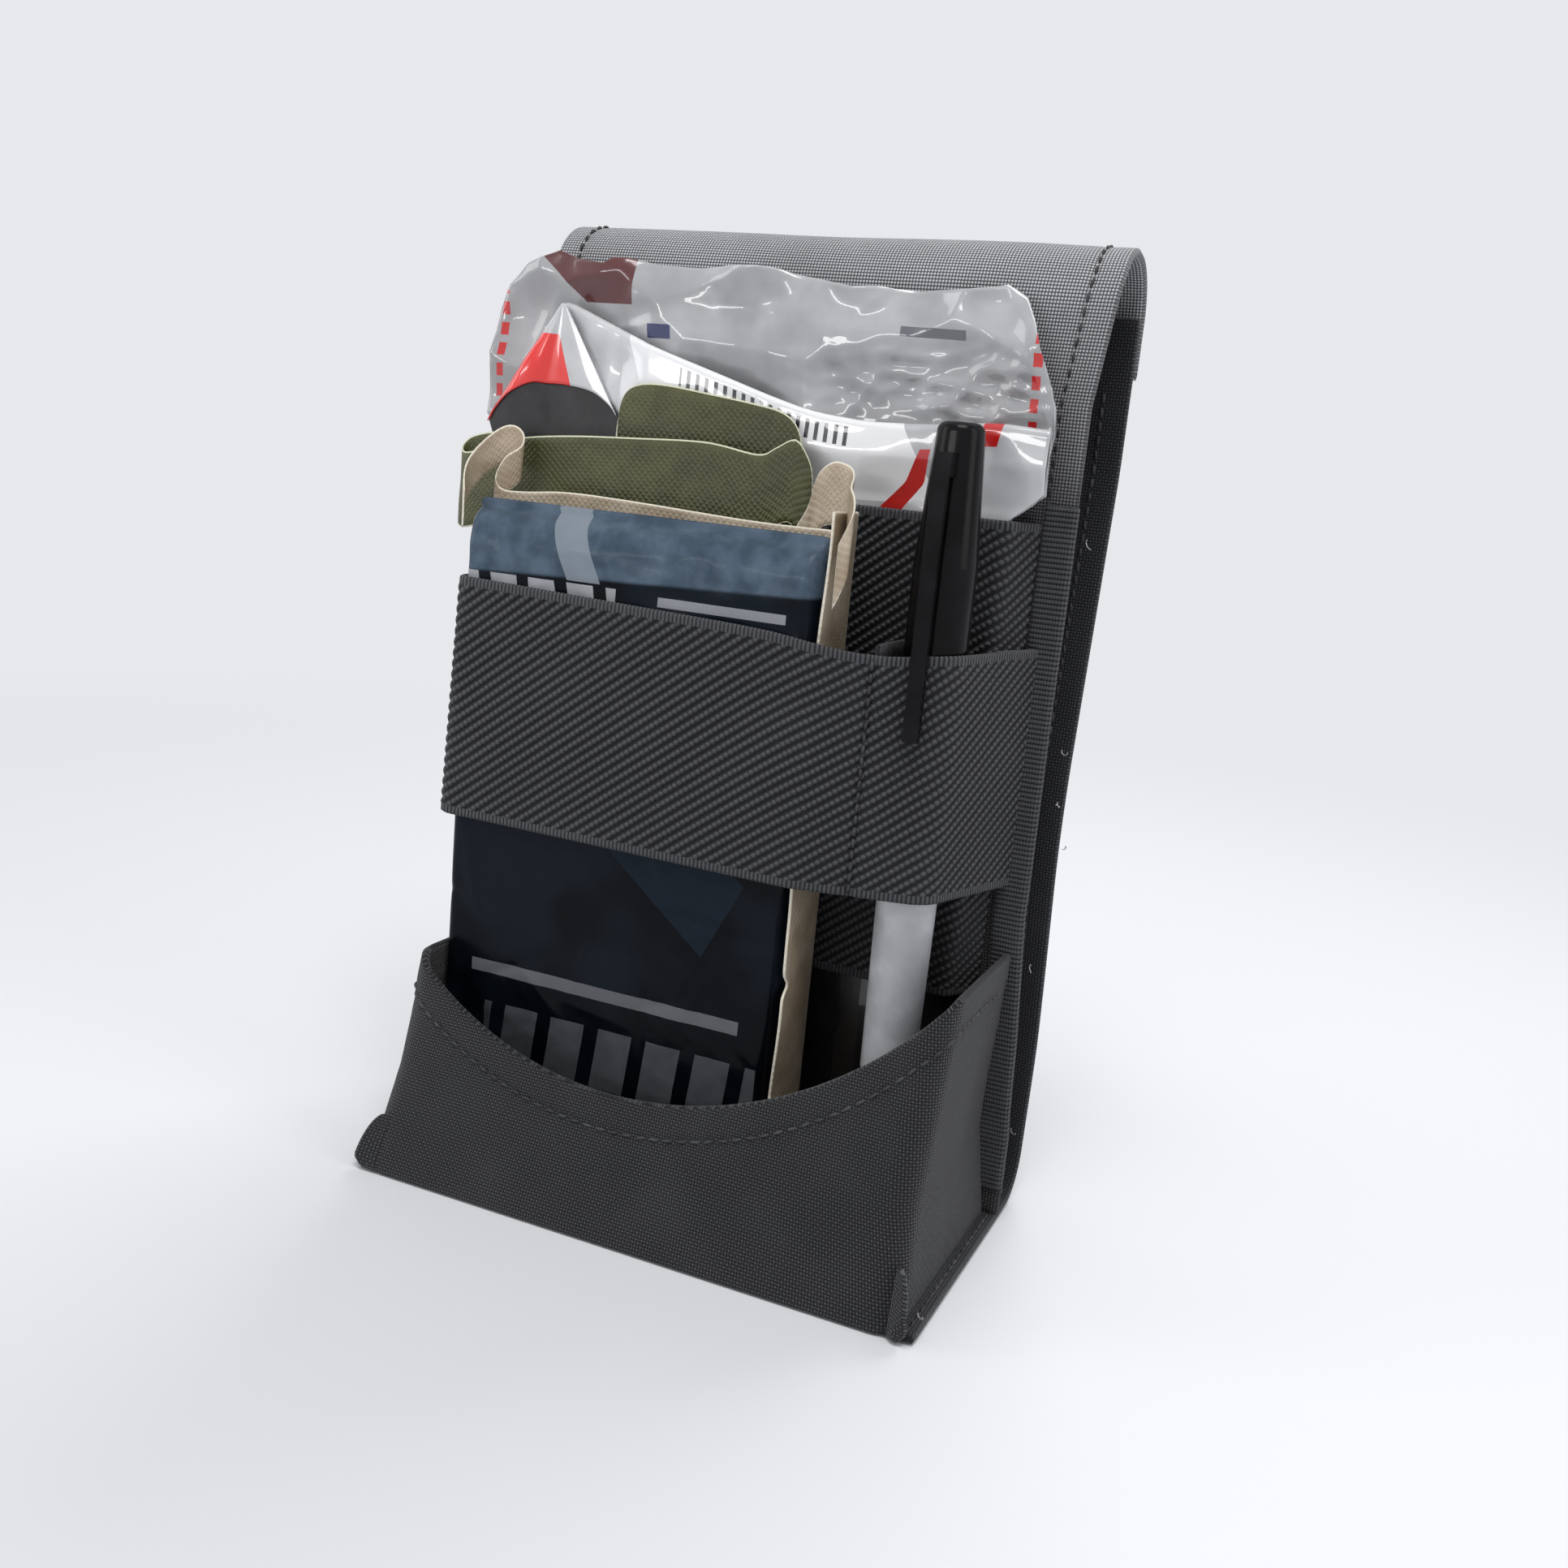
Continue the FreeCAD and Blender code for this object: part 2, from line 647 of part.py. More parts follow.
def make_gauze_pack():
    """The film round folded gauze, with one side seal turned forward round the pack in front."""
    front = size("board_front")
    edge = size("tourniquet_left") + size("tourniquet_width") + size("gap")
    middle = front - size("gauze_back") - size("gauze_thick") / 2
    seal = size("seal_thick")
    low = size("floor_height") + size("seal_height")
    root = size("gauze_left") + size("gauze_width") - size("film")
    tab = Part.makeBox(edge + seal - root, seal, size("gauze_height") - 2 * size("seal_height"),
                       Vector(root, middle - seal / 2, low))
    feature("gauze_wrapper", envelope("gauze", "gauze_back").fuse(tab).removeSplitter())
    reach = size("gauze_flange")
    flange = Part.makeBox(seal, reach, size("gauze_seal_top") - low, Vector(edge, middle - seal / 2 - reach, low))
    corners = [e for e in flange.Edges if abs(e.CenterOfMass.y - flange.BoundBox.YMin) < 0.01 and e.Length < 2 * seal]
    feature("gauze_side_seal", flange.makeFillet(reach / 3, corners))
    layers = int(size("gauze_layers"))
    pitch = (size("gauze_thick") - 4 * size("film")) / layers
    spare = 4 * size("film") + size("gauze_thick")
    bottom = size("floor_height") + 2 * size("seal_height")
    feature("gauze_pad", folded_sheet(
        size("gauze_left") + spare, size("gauze_width") - 2 * spare, size("gauze_back") + 3 * size("film"),
        pitch, layers, size("gauze_sheet"), bottom, size("gauze_height") - 4 * size("seal_height")))


def make_dressing_pack():
    width, top = size("dressing_tab_width"), size("dressing_tab_top")
    middle = size("board_front") - size("dressing_back") - size("dressing_thick") / 2
    foot = size("floor_height") + size("dressing_height") - size("film")
    tab = Part.makeBox(width, size("seal_thick"), top - foot, Vector(
        size("dressing_tab_left"), middle - size("seal_thick") / 2, foot))
    corners = [e for e in tab.Edges if abs(e.CenterOfMass.z - top) < 0.01 and e.Length < width / 2]
    tab = tab.makeFillet(size("dressing_tab_round"), corners)
    feature("dressing_wrapper", envelope("dressing", "dressing_back").fuse(tab).removeSplitter())
    spare = "Sizes.dressing_thick"
    slab("dressing_pad", "Sizes.dressing_left + " + spare,
         "Sizes.dressing_left + Sizes.dressing_width - " + spare,
         front_y + " - Sizes.dressing_front + 3 * Sizes.film", front_y + " - Sizes.dressing_back - 3 * Sizes.film",
         "Sizes.floor_height + 3 * Sizes.seal_height", "Sizes.floor_height + Sizes.dressing_height - 3 * Sizes.seal_height")


def make_foil_pack():
    feature("foil_pouch", envelope("foil", "gap", (size("foil_flare_left"), size("foil_flare_right"))))
    discs = []
    middle = "Sizes.foil_left + Sizes.foil_width / 2"
    for name, depth in (("Disc_one", "4 * Sizes.film"), ("Disc_two", "(4 * Sizes.film + Sizes.disc_thick + Sizes.gap)")):
        disc = doc.addObject("Part::Cylinder", name)
        disc.setExpression("Radius", "Sizes.disc_radius")
        disc.setExpression("Height", "Sizes.disc_thick")
        disc.Placement.Rotation = FreeCAD.Rotation(Vector(1, 0, 0), 90)
        disc.setExpression("Placement.Base.x", middle)
        disc.setExpression("Placement.Base.y", front_y + " - Sizes.gap - " + depth)
        disc.setExpression("Placement.Base.z", "Sizes.disc_height")
        discs.append(disc)
    pair = doc.addObject("Part::Compound", "Disc_pair")
    pair.Links = discs
    keep(pair, "seal_discs")


# The marker: barrel, its inner parts and the cap with its clip

barrel_top = "Sizes.marker_foot + Sizes.barrel_length"
cap_foot = "(Sizes.marker_foot + Sizes.barrel_length + Sizes.gap)"
cap_head = "(Sizes.marker_foot + Sizes.marker_length)"
cap_inside = "(Sizes.cap_radius - Sizes.cap_wall)"


def ring_edges(body, height):
    """The names of the round edges of a body at one height, outermost first."""
    found = []
    for i, edge in enumerate(body.Shape.Edges):
        if edge.Closed and abs(edge.BoundBox.ZMax - height) < 0.01 and abs(edge.BoundBox.ZMin - height) < 0.01:
            found.append((-edge.BoundBox.XLength, "Edge%d" % (i + 1)))
    return [name for _, name in sorted(found)]


def round_off(body, height, radius):
    doc.recompute()
    last = body.Tip
    fillet = body.newObject("PartDesign::Fillet", "Round_" + body.Label)
    fillet.Base = (last, ring_edges(body, height)[:1])
    fillet.setExpression("Radius", radius)


def make_marker():
    foot = "Sizes.marker_foot"
    barrel = turned("marker_barrel", [
        ("Sizes.barrel_bore", foot), ("Sizes.barrel_radius - Sizes.barrel_taper", foot),
        ("Sizes.barrel_radius", foot + " + Sizes.barrel_length / 2"), ("Sizes.barrel_radius", barrel_top),
        ("Sizes.barrel_bore", barrel_top)])
    turned("marker_end_plug", [
        ("0", foot), ("Sizes.barrel_bore", foot), ("Sizes.barrel_bore", foot + " + Sizes.plug_length"),
        ("0", foot + " + Sizes.plug_length")])
    ink_foot = foot + " + Sizes.plug_length + Sizes.gap"
    turned("marker_reservoir", [
        ("0", ink_foot), ("Sizes.reservoir_radius", ink_foot),
        ("Sizes.reservoir_radius", ink_foot + " + Sizes.reservoir_length"),
        ("0", ink_foot + " + Sizes.reservoir_length")])
    collar = barrel_top + " - Sizes.plug_length"
    mouth = barrel_top + " + Sizes.section_length"
    turned("marker_section", [
        ("Sizes.nib_radius", collar), ("Sizes.barrel_bore", collar), ("Sizes.barrel_bore", barrel_top),
        ("Sizes.section_radius", barrel_top), ("Sizes.section_radius", barrel_top + " + Sizes.section_length / 2"),
        ("Sizes.nib_radius + Sizes.cap_wall", mouth), ("Sizes.nib_radius", mouth)])
    nib_foot = mouth + " - Sizes.nib_length * 2 / 3"
    turned("marker_nib", [
        ("0", nib_foot), ("Sizes.nib_radius", nib_foot), ("Sizes.nib_radius", mouth + " + Sizes.nib_radius"),
        ("Sizes.nib_radius / 3", nib_foot + " + Sizes.nib_length"), ("0", nib_foot + " + Sizes.nib_length")])
    round_off(barrel, size("marker_foot"), "Sizes.barrel_radius - Sizes.barrel_taper - Sizes.barrel_bore - 0.1")


def make_marker_cap():
    cavity_top = cap_head + " - Sizes.cap_solid"
    cap = turned("marker_cap", [
        (cap_inside, cap_foot), ("Sizes.cap_radius", cap_foot),
        ("Sizes.cap_radius", cap_foot + " + Sizes.cap_length / 2"), ("Sizes.cap_tip_radius", cap_head),
        ("Sizes.vent_radius", cap_head), ("Sizes.vent_radius", cap_head + " - Sizes.vent_depth"),
        ("0", cap_head + " - Sizes.vent_depth"), ("0", cavity_top), (cap_inside + " - Sizes.liner_wall", cavity_top),
        (cap_inside, cap_foot + " + Sizes.cap_length / 2")])
    root = cap_head + " - Sizes.clip_drop"
    inner_y = "Sizes.marker_y - Sizes.clip_reach"
    outer_y = inner_y + " - Sizes.clip_thick"
    anchor_y = "Sizes.marker_y - Sizes.cap_tip_radius + Sizes.clip_thick"
    tip = root + " - Sizes.clip_length"
    shoulder = root + " - 3 * Sizes.clip_thick"
    new_pad(cap, "Clip", "YZ_Plane", "Sizes.marker_across - Sizes.clip_width / 2", [
        (anchor_y, root), (outer_y + " + Sizes.clip_thick", root), (outer_y, root + " - Sizes.clip_thick"),
        (outer_y, tip), (inner_y, tip), (inner_y, shoulder), (anchor_y, shoulder)], "Sizes.clip_width")
    round_off(cap, size("marker_foot") + size("marker_length"), "Sizes.cap_dome")
    liner_foot = cap_foot + " + Sizes.liner_wall"
    liner_head = cap_foot + " + Sizes.section_length"
    turned("cap_liner", [
        (cap_inside + " - Sizes.liner_wall", liner_foot), (cap_inside, liner_foot),
        (cap_inside, liner_head), (cap_inside + " - Sizes.liner_wall", liner_head)])


def check_and_export():
    for thing in doc.Objects:
        if "Invalid" in thing.State or "Error" in thing.State:
            raise RuntimeError(thing.Name + " failed: " + ", ".join(thing.State))
    for node in NODES:
        if node.Shape.isNull() or not node.Shape.isValid():
            raise RuntimeError(node.Label + " has no valid shape")
    os.makedirs("parts", exist_ok=True)
    for node in NODES:
        node.Shape.exportStep(os.path.join("parts", node.Label + ".step"))
        print("%-22s %2d solids %10.1f mm3" % (node.Label, len(node.Shape.Solids), node.Shape.Volume))


make_back_panel()
make_panel_lining()
make_side_binding("side_binding_left", "-", "Sizes.binding_left_lip")
make_side_binding("side_binding_right", "", "Sizes.binding_right_lip")
make_base_strip()
make_belt_strap()
make_belt_flap()
make_patches()
make_pocket()
make_rear_band()
make_front_band()
make_tourniquet_pack()
make_gauze_pack()
make_dressing_pack()
make_foil_pack()
make_marker()
make_marker_cap()
doc.recompute()
check_and_export()
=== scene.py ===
import math
import bpy
import numpy as np
from mathutils import Matrix, Vector


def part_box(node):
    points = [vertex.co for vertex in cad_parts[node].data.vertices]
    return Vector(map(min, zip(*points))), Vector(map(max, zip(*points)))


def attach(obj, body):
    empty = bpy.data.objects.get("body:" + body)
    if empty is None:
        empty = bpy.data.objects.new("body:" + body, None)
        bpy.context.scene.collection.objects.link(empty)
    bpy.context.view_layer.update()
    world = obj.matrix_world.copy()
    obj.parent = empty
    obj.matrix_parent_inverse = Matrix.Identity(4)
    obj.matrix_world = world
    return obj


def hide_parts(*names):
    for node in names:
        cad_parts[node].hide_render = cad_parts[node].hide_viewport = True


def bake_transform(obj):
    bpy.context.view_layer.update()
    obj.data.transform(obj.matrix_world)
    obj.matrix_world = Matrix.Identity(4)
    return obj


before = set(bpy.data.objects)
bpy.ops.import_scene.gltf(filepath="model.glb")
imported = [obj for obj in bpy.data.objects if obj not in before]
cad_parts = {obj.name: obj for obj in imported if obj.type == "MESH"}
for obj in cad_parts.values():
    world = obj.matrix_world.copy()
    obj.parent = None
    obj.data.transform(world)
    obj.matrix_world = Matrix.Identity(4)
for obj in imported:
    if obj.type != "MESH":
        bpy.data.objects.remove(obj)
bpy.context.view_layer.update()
MM = 0.001
COARSE = 1.0
BACKDROP = (0.80, 0.81, 0.84, 1)

# Sizes in millimetres. The board's front face is at y = BOARD, and depths run forwards from it.
BOARD = 15.0
HALF_BOARD = 65.0
FOLD_RADIUS = 13.5
FOLD_HEIGHT = 197.5
WEBBING = 1.8
STRAP = 1.6
FRONT_BAND = 50.8
REAR_BAND = 101.6
SLANT_UP, SLANT_ALONG, ROW_PITCH, SELVEDGE = 0.788, 0.616, 1.85, 1.6
SEAM_INSET = 5.5
FILM = 0.35


def node_box(node):
    """A node's lowest and highest corner in millimetres."""
    low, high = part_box(node)
    return np.array(low) / MM, np.array(high) / MM


def add_object(name, data):
    made = bpy.data.objects.new(name, data)
    bpy.context.scene.collection.objects.link(made)
    return made


# Camera and stage

def place_camera():
    lens = bpy.data.cameras.new("camera")
    lens.sensor_width = 36
    lens.lens = 35.142
    lens.clip_start = 0.01
    camera = add_object("camera", lens)
    turn = Vector((1.732577, 0.433152, -0.212784))
    seen = Matrix.Rotation(turn.length, 3, turn)
    offset = Vector((-12.2553, 87.2139, 368.0492))
    spot = -(seen.transposed() @ offset) + Vector((0, BOARD, 0))
    axes = Matrix((seen[0], -seen[1], -seen[2])).transposed()
    camera.matrix_world = Matrix.Translation(spot * MM) @ axes.to_4x4()
    bpy.context.scene.camera = camera


def add_light(name, spot, aim_height, size, power):
    lamp = bpy.data.lights.new(name, "AREA")
    lamp.shape = "RECTANGLE"
    lamp.size, lamp.size_y = size
    lamp.energy = power
    light = add_object(name, lamp)
    light.location = spot
    way = Vector((0, 0, aim_height)) - Vector(spot)
    light.rotation_euler = way.to_track_quat("-Z", "Y").to_euler()


def background_rays(tree):
    """1 for the rays that show the background: camera, glossy and transmission rays."""
    nodes, links = tree.nodes, tree.links
    rays = nodes.new("ShaderNodeLightPath")
    shows = rays.outputs["Is Camera Ray"]
    for kind in ("Is Glossy Ray", "Is Transmission Ray"):
        either = nodes.new("ShaderNodeMath")
        either.operation = "MAXIMUM"
        links.new(shows, either.inputs[0])
        links.new(rays.outputs[kind], either.inputs[1])
        shows = either.outputs[0]
    return shows


def show_background(tree, lit, shown, output):
    """Shows one shader as background and lights with the other."""
    nodes, links = tree.nodes, tree.links
    mix = nodes.new("ShaderNodeMixShader")
    links.new(background_rays(tree), mix.inputs[0])
    links.new(lit.outputs[0], mix.inputs[1])
    links.new(shown.outputs[0], mix.inputs[2])
    links.new(mix.outputs[0], output.inputs["Surface"])


def fade_to_backdrop(tree, shader):
    """The floor turns evenly into the backdrop's colour away from the object."""
    nodes, links = tree.nodes, tree.links
    where = nodes.new("ShaderNodeTexCoord")
    away = nodes.new("ShaderNodeVectorMath")
    away.operation = "LENGTH"
    links.new(where.outputs["Object"], away.inputs[0])
    share = nodes.new("ShaderNodeMapRange")
    share.interpolation_type = "SMOOTHSTEP"
    links.new(away.outputs["Value"], share.inputs[0])
    share.inputs["From Min"].default_value = 0.16
    share.inputs["From Max"].default_value = 0.75
    shown = nodes.new("ShaderNodeMath")
    shown.operation = "MULTIPLY"
    links.new(share.outputs[0], shown.inputs[0])
    links.new(background_rays(tree), shown.inputs[1])
    glow = nodes.new("ShaderNodeEmission")
    glow.inputs["Color"].default_value = BACKDROP
    mix = nodes.new("ShaderNodeMixShader")
    links.new(shown.outputs[0], mix.inputs[0])
    links.new(shader.outputs[0], mix.inputs[1])
    links.new(glow.outputs[0], mix.inputs[2])
    links.new(mix.outputs[0], nodes["Material Output"].inputs["Surface"])


def make_stage():
    bpy.context.scene.view_settings.view_transform = "Standard"
    world = bpy.data.worlds.new("world")
    bpy.context.scene.world = world
    world.use_nodes = True
    nodes = world.node_tree.nodes
    lit = nodes["Background"]
    lit.inputs["Color"].default_value = (0.80, 0.82, 0.86, 1)
    lit.inputs["Strength"].default_value = 0.38
    shown = nodes.new("ShaderNodeBackground")
    shown.inputs["Color"].default_value = BACKDROP
    show_background(world.node_tree, lit, shown, nodes["World Output"])
    mesh = bpy.data.meshes.new("floor")
    reach, below = 6.0, -0.0003
    corners = ((-reach, -reach), (reach, -reach), (reach, reach), (-reach, reach))
    mesh.from_pydata([(x, y, below) for x, y in corners], [], [(0, 1, 2, 3)])
    floor = add_object("floor", mesh)
    paint = bpy.data.materials.new("floor")
    paint.use_nodes = True
    shader = paint.node_tree.nodes["Principled BSDF"]
    shader.inputs["Base Color"].default_value = (0.80, 0.805, 0.83, 1)
    shader.inputs["Roughness"].default_value = 0.7
    fade_to_backdrop(paint.node_tree, shader)
    mesh.materials.append(paint)
    add_light("key", (0.15, -0.30, 0.95), 0.1, (0.45, 0.45), 4.6)
    add_light("left", (-0.9, -0.4, 0.45), 0.1, (0.4, 0.7), 1.8)
    add_light("right", (0.9, -0.1, 0.5), 0.1, (0.4, 0.7), 1.6)
    add_light("back", (0.1, 0.9, 0.9), 0.1, (0.9, 0.5), 7)
    add_light("front", (-0.25, -0.85, 0.30), 0.12, (0.5, 0.07), 1.1)


# Node materials: fields are numbers that vary over a surface

class Field:
    def __init__(self, tree, socket):
        self.tree = tree
        self.socket = socket

    def math(self, operation, *others):
        node = self.tree.nodes.new("ShaderNodeMath")
        node.operation = operation
        for place, value in enumerate((self, *others)):
            if isinstance(value, Field):
                self.tree.links.new(value.socket, node.inputs[place])
            else:
                node.inputs[place].default_value = value
        return Field(self.tree, node.outputs[0])

    def __add__(self, other):
        return self.math("ADD", other)

    def __sub__(self, other):
        return self.math("SUBTRACT", other)

    def __mul__(self, other):
        return self.math("MULTIPLY", other)

    def fraction(self):
        return self.math("FRACT")

    def above(self, edge):
        return self.math("GREATER_THAN", edge)

    def below(self, edge):
        return self.math("LESS_THAN", edge)

    def between(self, low, high):
        return self.above(low) * self.below(high)

    def smooth(self, low, high):
        """0 below low, 1 above high, and even between."""
        node = self.tree.nodes.new("ShaderNodeMapRange")
        node.interpolation_type = "SMOOTHSTEP"
        self.tree.links.new(self.socket, node.inputs[0])
        node.inputs[1].default_value = low
        node.inputs[2].default_value = high
        return Field(self.tree, node.outputs[0])

    def wave(self):
        """A smooth bump from 0 to 1 once in each unit."""
        return (self * math.pi).math("SINE").math("ABSOLUTE")


class Paint:
    """A material under construction. Its pattern runs in millimetres along the cloth."""

    def __init__(self, name, roughness, specular=0.5, sheen=0.0, coat=0.0):
        self.made = bpy.data.materials.new(name)
        self.made.use_nodes = True
        self.tree = self.made.node_tree
        self.shader = self.tree.nodes["Principled BSDF"]
        for socket, value in (("Roughness", roughness), ("Specular IOR Level", specular),
                              ("Sheen Weight", sheen), ("Coat Weight", coat)):
            self.shader.inputs[socket].default_value = value

    def node(self, kind):
        return self.tree.nodes.new(kind)

    def parts_of(self, socket):
        split = self.node("ShaderNodeSeparateXYZ")
        self.tree.links.new(socket, split.inputs[0])
        return [Field(self.tree, part) for part in split.outputs]

    def layer(self, name):
        """The two numbers of a layer written on the mesh."""
        where = self.node("ShaderNodeUVMap")
        where.uv_map = name
        return self.parts_of(where.outputs[0])[:2]

    def height(self):
        """Height above the floor in millimetres."""
        where = self.node("ShaderNodeTexCoord")
        return self.parts_of(where.outputs["Object"])[2] * (1 / MM)

    def noise(self, size, detail=3.0):
        """Cloudy noise with blots of about that size in millimetres."""
        made = self.node("ShaderNodeTexNoise")
        made.inputs["Scale"].default_value = 1 / (size * MM)
        made.inputs["Detail"].default_value = detail
        where = self.node("ShaderNodeTexCoord")
        self.tree.links.new(where.outputs["Object"], made.inputs["Vector"])
        return Field(self.tree, made.outputs[0])

    def mix(self, share, first, second):
        made = self.node("ShaderNodeMix")
        made.data_type = "RGBA"
        self.tree.links.new(share.socket, made.inputs[0])
        for place, colour in ((6, first), (7, second)):
            if isinstance(colour, tuple):
                made.inputs[place].default_value = (*colour, 1)
            else:
                self.tree.links.new(colour, made.inputs[place])
        return made.outputs[2]

    def colour(self, socket):
        self.tree.links.new(socket, self.shader.inputs["Base Color"])
        return self

    def rough(self, field):
        self.tree.links.new(field.socket, self.shader.inputs["Roughness"])
        return self

    def bump(self, field, height):
        """Raises the surface by the field times height, in millimetres."""
        made = self.node("ShaderNodeBump")
        made.inputs["Distance"].default_value = height * MM
        made.inputs["Strength"].default_value = 1.0
        self.tree.links.new(field.socket, made.inputs["Height"])
        self.tree.links.new(made.outputs[0], self.shader.inputs["Normal"])
        return self


def woven(name, dark, light, thread, wear_and_highlight=0.0, roughness=0.85, height=0.16):
    """Plain weave: each thread goes over and under its neighbours. The wear-and-highlight number is how much
    paler the roll is towards its top: wear on the rolled top plus a painted highlight where the light falls on
    it.
    """
    paint = Paint(name, roughness, specular=0.25, sheen=0.15)
    u, v = paint.layer("cloth")
    across = (u * (1 / thread)).wave()
    along = (v * (1 / thread)).wave()
    odd_u, odd_v = [(field * (0.5 / thread)).fraction().above(0.5) for field in (u, v)]
    lean = ((odd_u + odd_v) * 0.5).fraction().above(0.25)
    bead = across * along
    relief = bead * 0.6 + (across * lean + along * (lean * -1 + 1)) * bead * 0.4
    cloud = paint.noise(14, 4.0)
    # Colour follows the weave's relief: painted highlight on the thread crests and painted shade in the gaps
    # between them, with a random cloudy tone.
    shade = relief.smooth(0.2, 0.9) * (lean * 0.45 + 0.55) + (cloud - 0.5) * 0.35
    base = paint.mix(shade, dark, light)
    if wear_and_highlight:
        # Paler towards the top of the roll: wear on the rolled top plus a painted highlight where the light
        # falls on it.
        crest = paint.height().smooth(140, 207) * (cloud * 0.5 + 0.7)
        wear_and_highlight_colours = [tuple(channel * wear_and_highlight for channel in colour) for colour in (dark, light)]
        base = paint.mix(crest, base, paint.mix(relief.smooth(0.1, 0.8), *wear_and_highlight_colours))
    paint.colour(base)
    return paint.bump(relief, height).made


def elastic_cloth(name, height, dark, light):
    """Elastic webbing: slanted rows of beads between two ribbed edges."""
    paint = Paint(name, 0.75, specular=0.3, sheen=0.1)
    u, v = paint.layer("cloth")
    row = (v * SLANT_UP - u * SLANT_ALONG) * (1 / ROW_PITCH)
    bead_step = row.math("FLOOR") * 0.5
    bead = ((u * SLANT_UP + v * SLANT_ALONG) * (1 / 1.25) + bead_step).wave()
    ridge = row.wave()
    field = ridge * ridge * (bead * 0.65 + 0.35)
    edge = (v - height / 2).math("ABSOLUTE").above(height / 2 - SELVEDGE)
    ribs = (u * (1 / 0.9)).wave()
    relief = field * (edge * -1 + 1) + ribs * edge
    cloud = paint.noise(20, 3.0)
    # Colour follows the relief: painted highlight on the beads and edge ribs and painted shade in the gaps
    # between rows, with a random cloudy tone.
    shade = relief.smooth(0.12, 0.85) * 0.95 + (cloud - 0.5) * 0.25
    paint.colour(paint.mix(shade, dark, light))
    return paint.bump(relief, 0.5).made


def ribbed_tape(name, dark, light):
    paint = Paint(name, 0.85, specular=0.2, sheen=0.1)
    u, v = paint.layer("cloth")
    ribs = (v * (1 / 1.05)).wave()
    grain = (u * (1 / 0.6)).wave() * 0.35
    relief = ribs * 0.7 + grain
    # Colour follows the ribs: painted highlight on the rib tops and painted shade between them, with a random
    # tone.
    paint.colour(paint.mix(relief.smooth(0.2, 1.0) + (paint.noise(6) - 0.5) * 0.3, dark, light))
    return paint.bump(relief, 0.35).made


def plain_film(name, base, pale, edge_colour, roughness, emboss):
    """Packing film with a fine pressed grid and paler cut edges."""
    paint = Paint(name, roughness, specular=0.45)
    u, v = paint.layer("cloth")
    grid = ((u + v) * (1 / 1.5)).wave() * ((u - v) * (1 / 1.5)).wave()
    cloud = paint.noise(9, 5.0)
    colour = paint.mix(cloud.smooth(0.3, 0.75), base, pale)
    edge = paint.layer("edge")[0]
    paint.colour(paint.mix(edge.below(0.22), colour, edge_colour))
    return paint.bump(grid * 0.8 + paint.noise(3, 4.0) * 2.5, emboss).made


def printed_film():
    """Dark glossy print with plain blocks, lines and soft pale shapes."""
    paint = Paint("printed_film", 0.25, specular=0.08, coat=0.03)
    u, v = paint.layer("cloth")
    cloud = paint.noise(26, 2.0)
    blots = paint.noise(6, 4.0)
    navy = (0.002, 0.0027, 0.0045)
    slate = (0.005, 0.009, 0.015)
    mist = (0.10, 0.14, 0.19)
    base = paint.mix(cloud.smooth(0.45, 0.62), navy, slate)
    wedge = (u * 0.8 + v).between(60, 84) * (u - v * 0.5).between(-70, -26)
    head = (v - u * 0.04).smooth(134.5, 135.5)
    haze = paint.mix(blots.smooth(0.3, 0.75), (0.045, 0.07, 0.10), mist)
    chip = (u + v * 0.45).between(24, 32) * v.above(133)
    blocks = ((u + v * 0.2) * (1 / 9.5)).fraction().below(0.68) * v.between(121, 132.5) * u.between(-61, -24)
    lines = (v * (1 / 5.0)).fraction().below(0.5) * v.between(120, 132) * u.between(-14, 15)
    line = v.between(42.5, 45.5) * u.between(-54, 13)
    low = ((u - v * 0.1) * (1 / 12.0)).fraction().below(0.7) * v.between(22, 36) * u.between(-50, 18)
    for share, ink in ((wedge * 0.6, (0.010, 0.019, 0.032)), (head, haze), (chip * 0.7, (0.28, 0.32, 0.36)),
                       (blocks * (blots * 0.5 + 0.5), (0.46, 0.47, 0.50)), (lines * 0.8, (0.34, 0.35, 0.38)),
                       (line * 0.6, (0.20, 0.205, 0.22)), (low * (blots * 0.4 + 0.25), (0.16, 0.165, 0.18))):
        base = paint.mix(share, base, ink)
    paint.colour(base)
    return paint.bump(paint.noise(3.5, 2.0), 0.1).made


def foil_film(name, tones, marks):
    """White coated film. A mark, print on most sheets and painted shade on the pack's body, colours it where
    every a*u + b*v is above c. A step cuts it into dashes, upwards if it is above 0 and across if it is below."""
    paint = Paint(name, 0.26, specular=0.5, coat=1.0)
    u, v = paint.layer("cloth")
    colour = paint.mix(paint.noise(18, 3.0).smooth(0.3, 0.75), *tones)
    for ink, step, *edges in marks:
        share = None
        for a, b, c in edges:
            inside = (u * a + v * b).above(c)
            share = inside if share is None else share * inside
        if step > 0:
            share = share * (v * (1 / step)).fraction().below(0.62)
        if step < 0:
            share = share * (u * (-1 / step)).fraction().below(0.42)
        colour = paint.mix(share, colour, ink)
    paint.colour(colour)
    return paint.bump(paint.noise(11, 2.0), 0.3).made


def inside_box(left, right, low, high):
    """The four edges of an upright box on a film."""
    return (1, 0, left), (-1, 0, -right), (0, 1, low), (0, -1, -high)


def moulded(name, base, pale, roughness, specular=0.5):
    paint = Paint(name, roughness, specular=specular)
    cloud = paint.noise(7, 5.0)
    paint.colour(paint.mix(cloud.smooth(0.35, 0.75), base, pale))
    paint.rough(cloud * 0.12 + (roughness - 0.06))
    return paint.bump(paint.noise(0.9, 2.0), 0.02).made


# Cloth building

def ramp(value, zero, over):
    """0 until the value is at zero, 1 once it is that far over, and even between."""
    return np.clip((value - zero) / over, 0, 1)


def unit(vectors):
    return vectors / np.maximum(np.linalg.norm(vectors, axis=-1, keepdims=True), 1e-9)


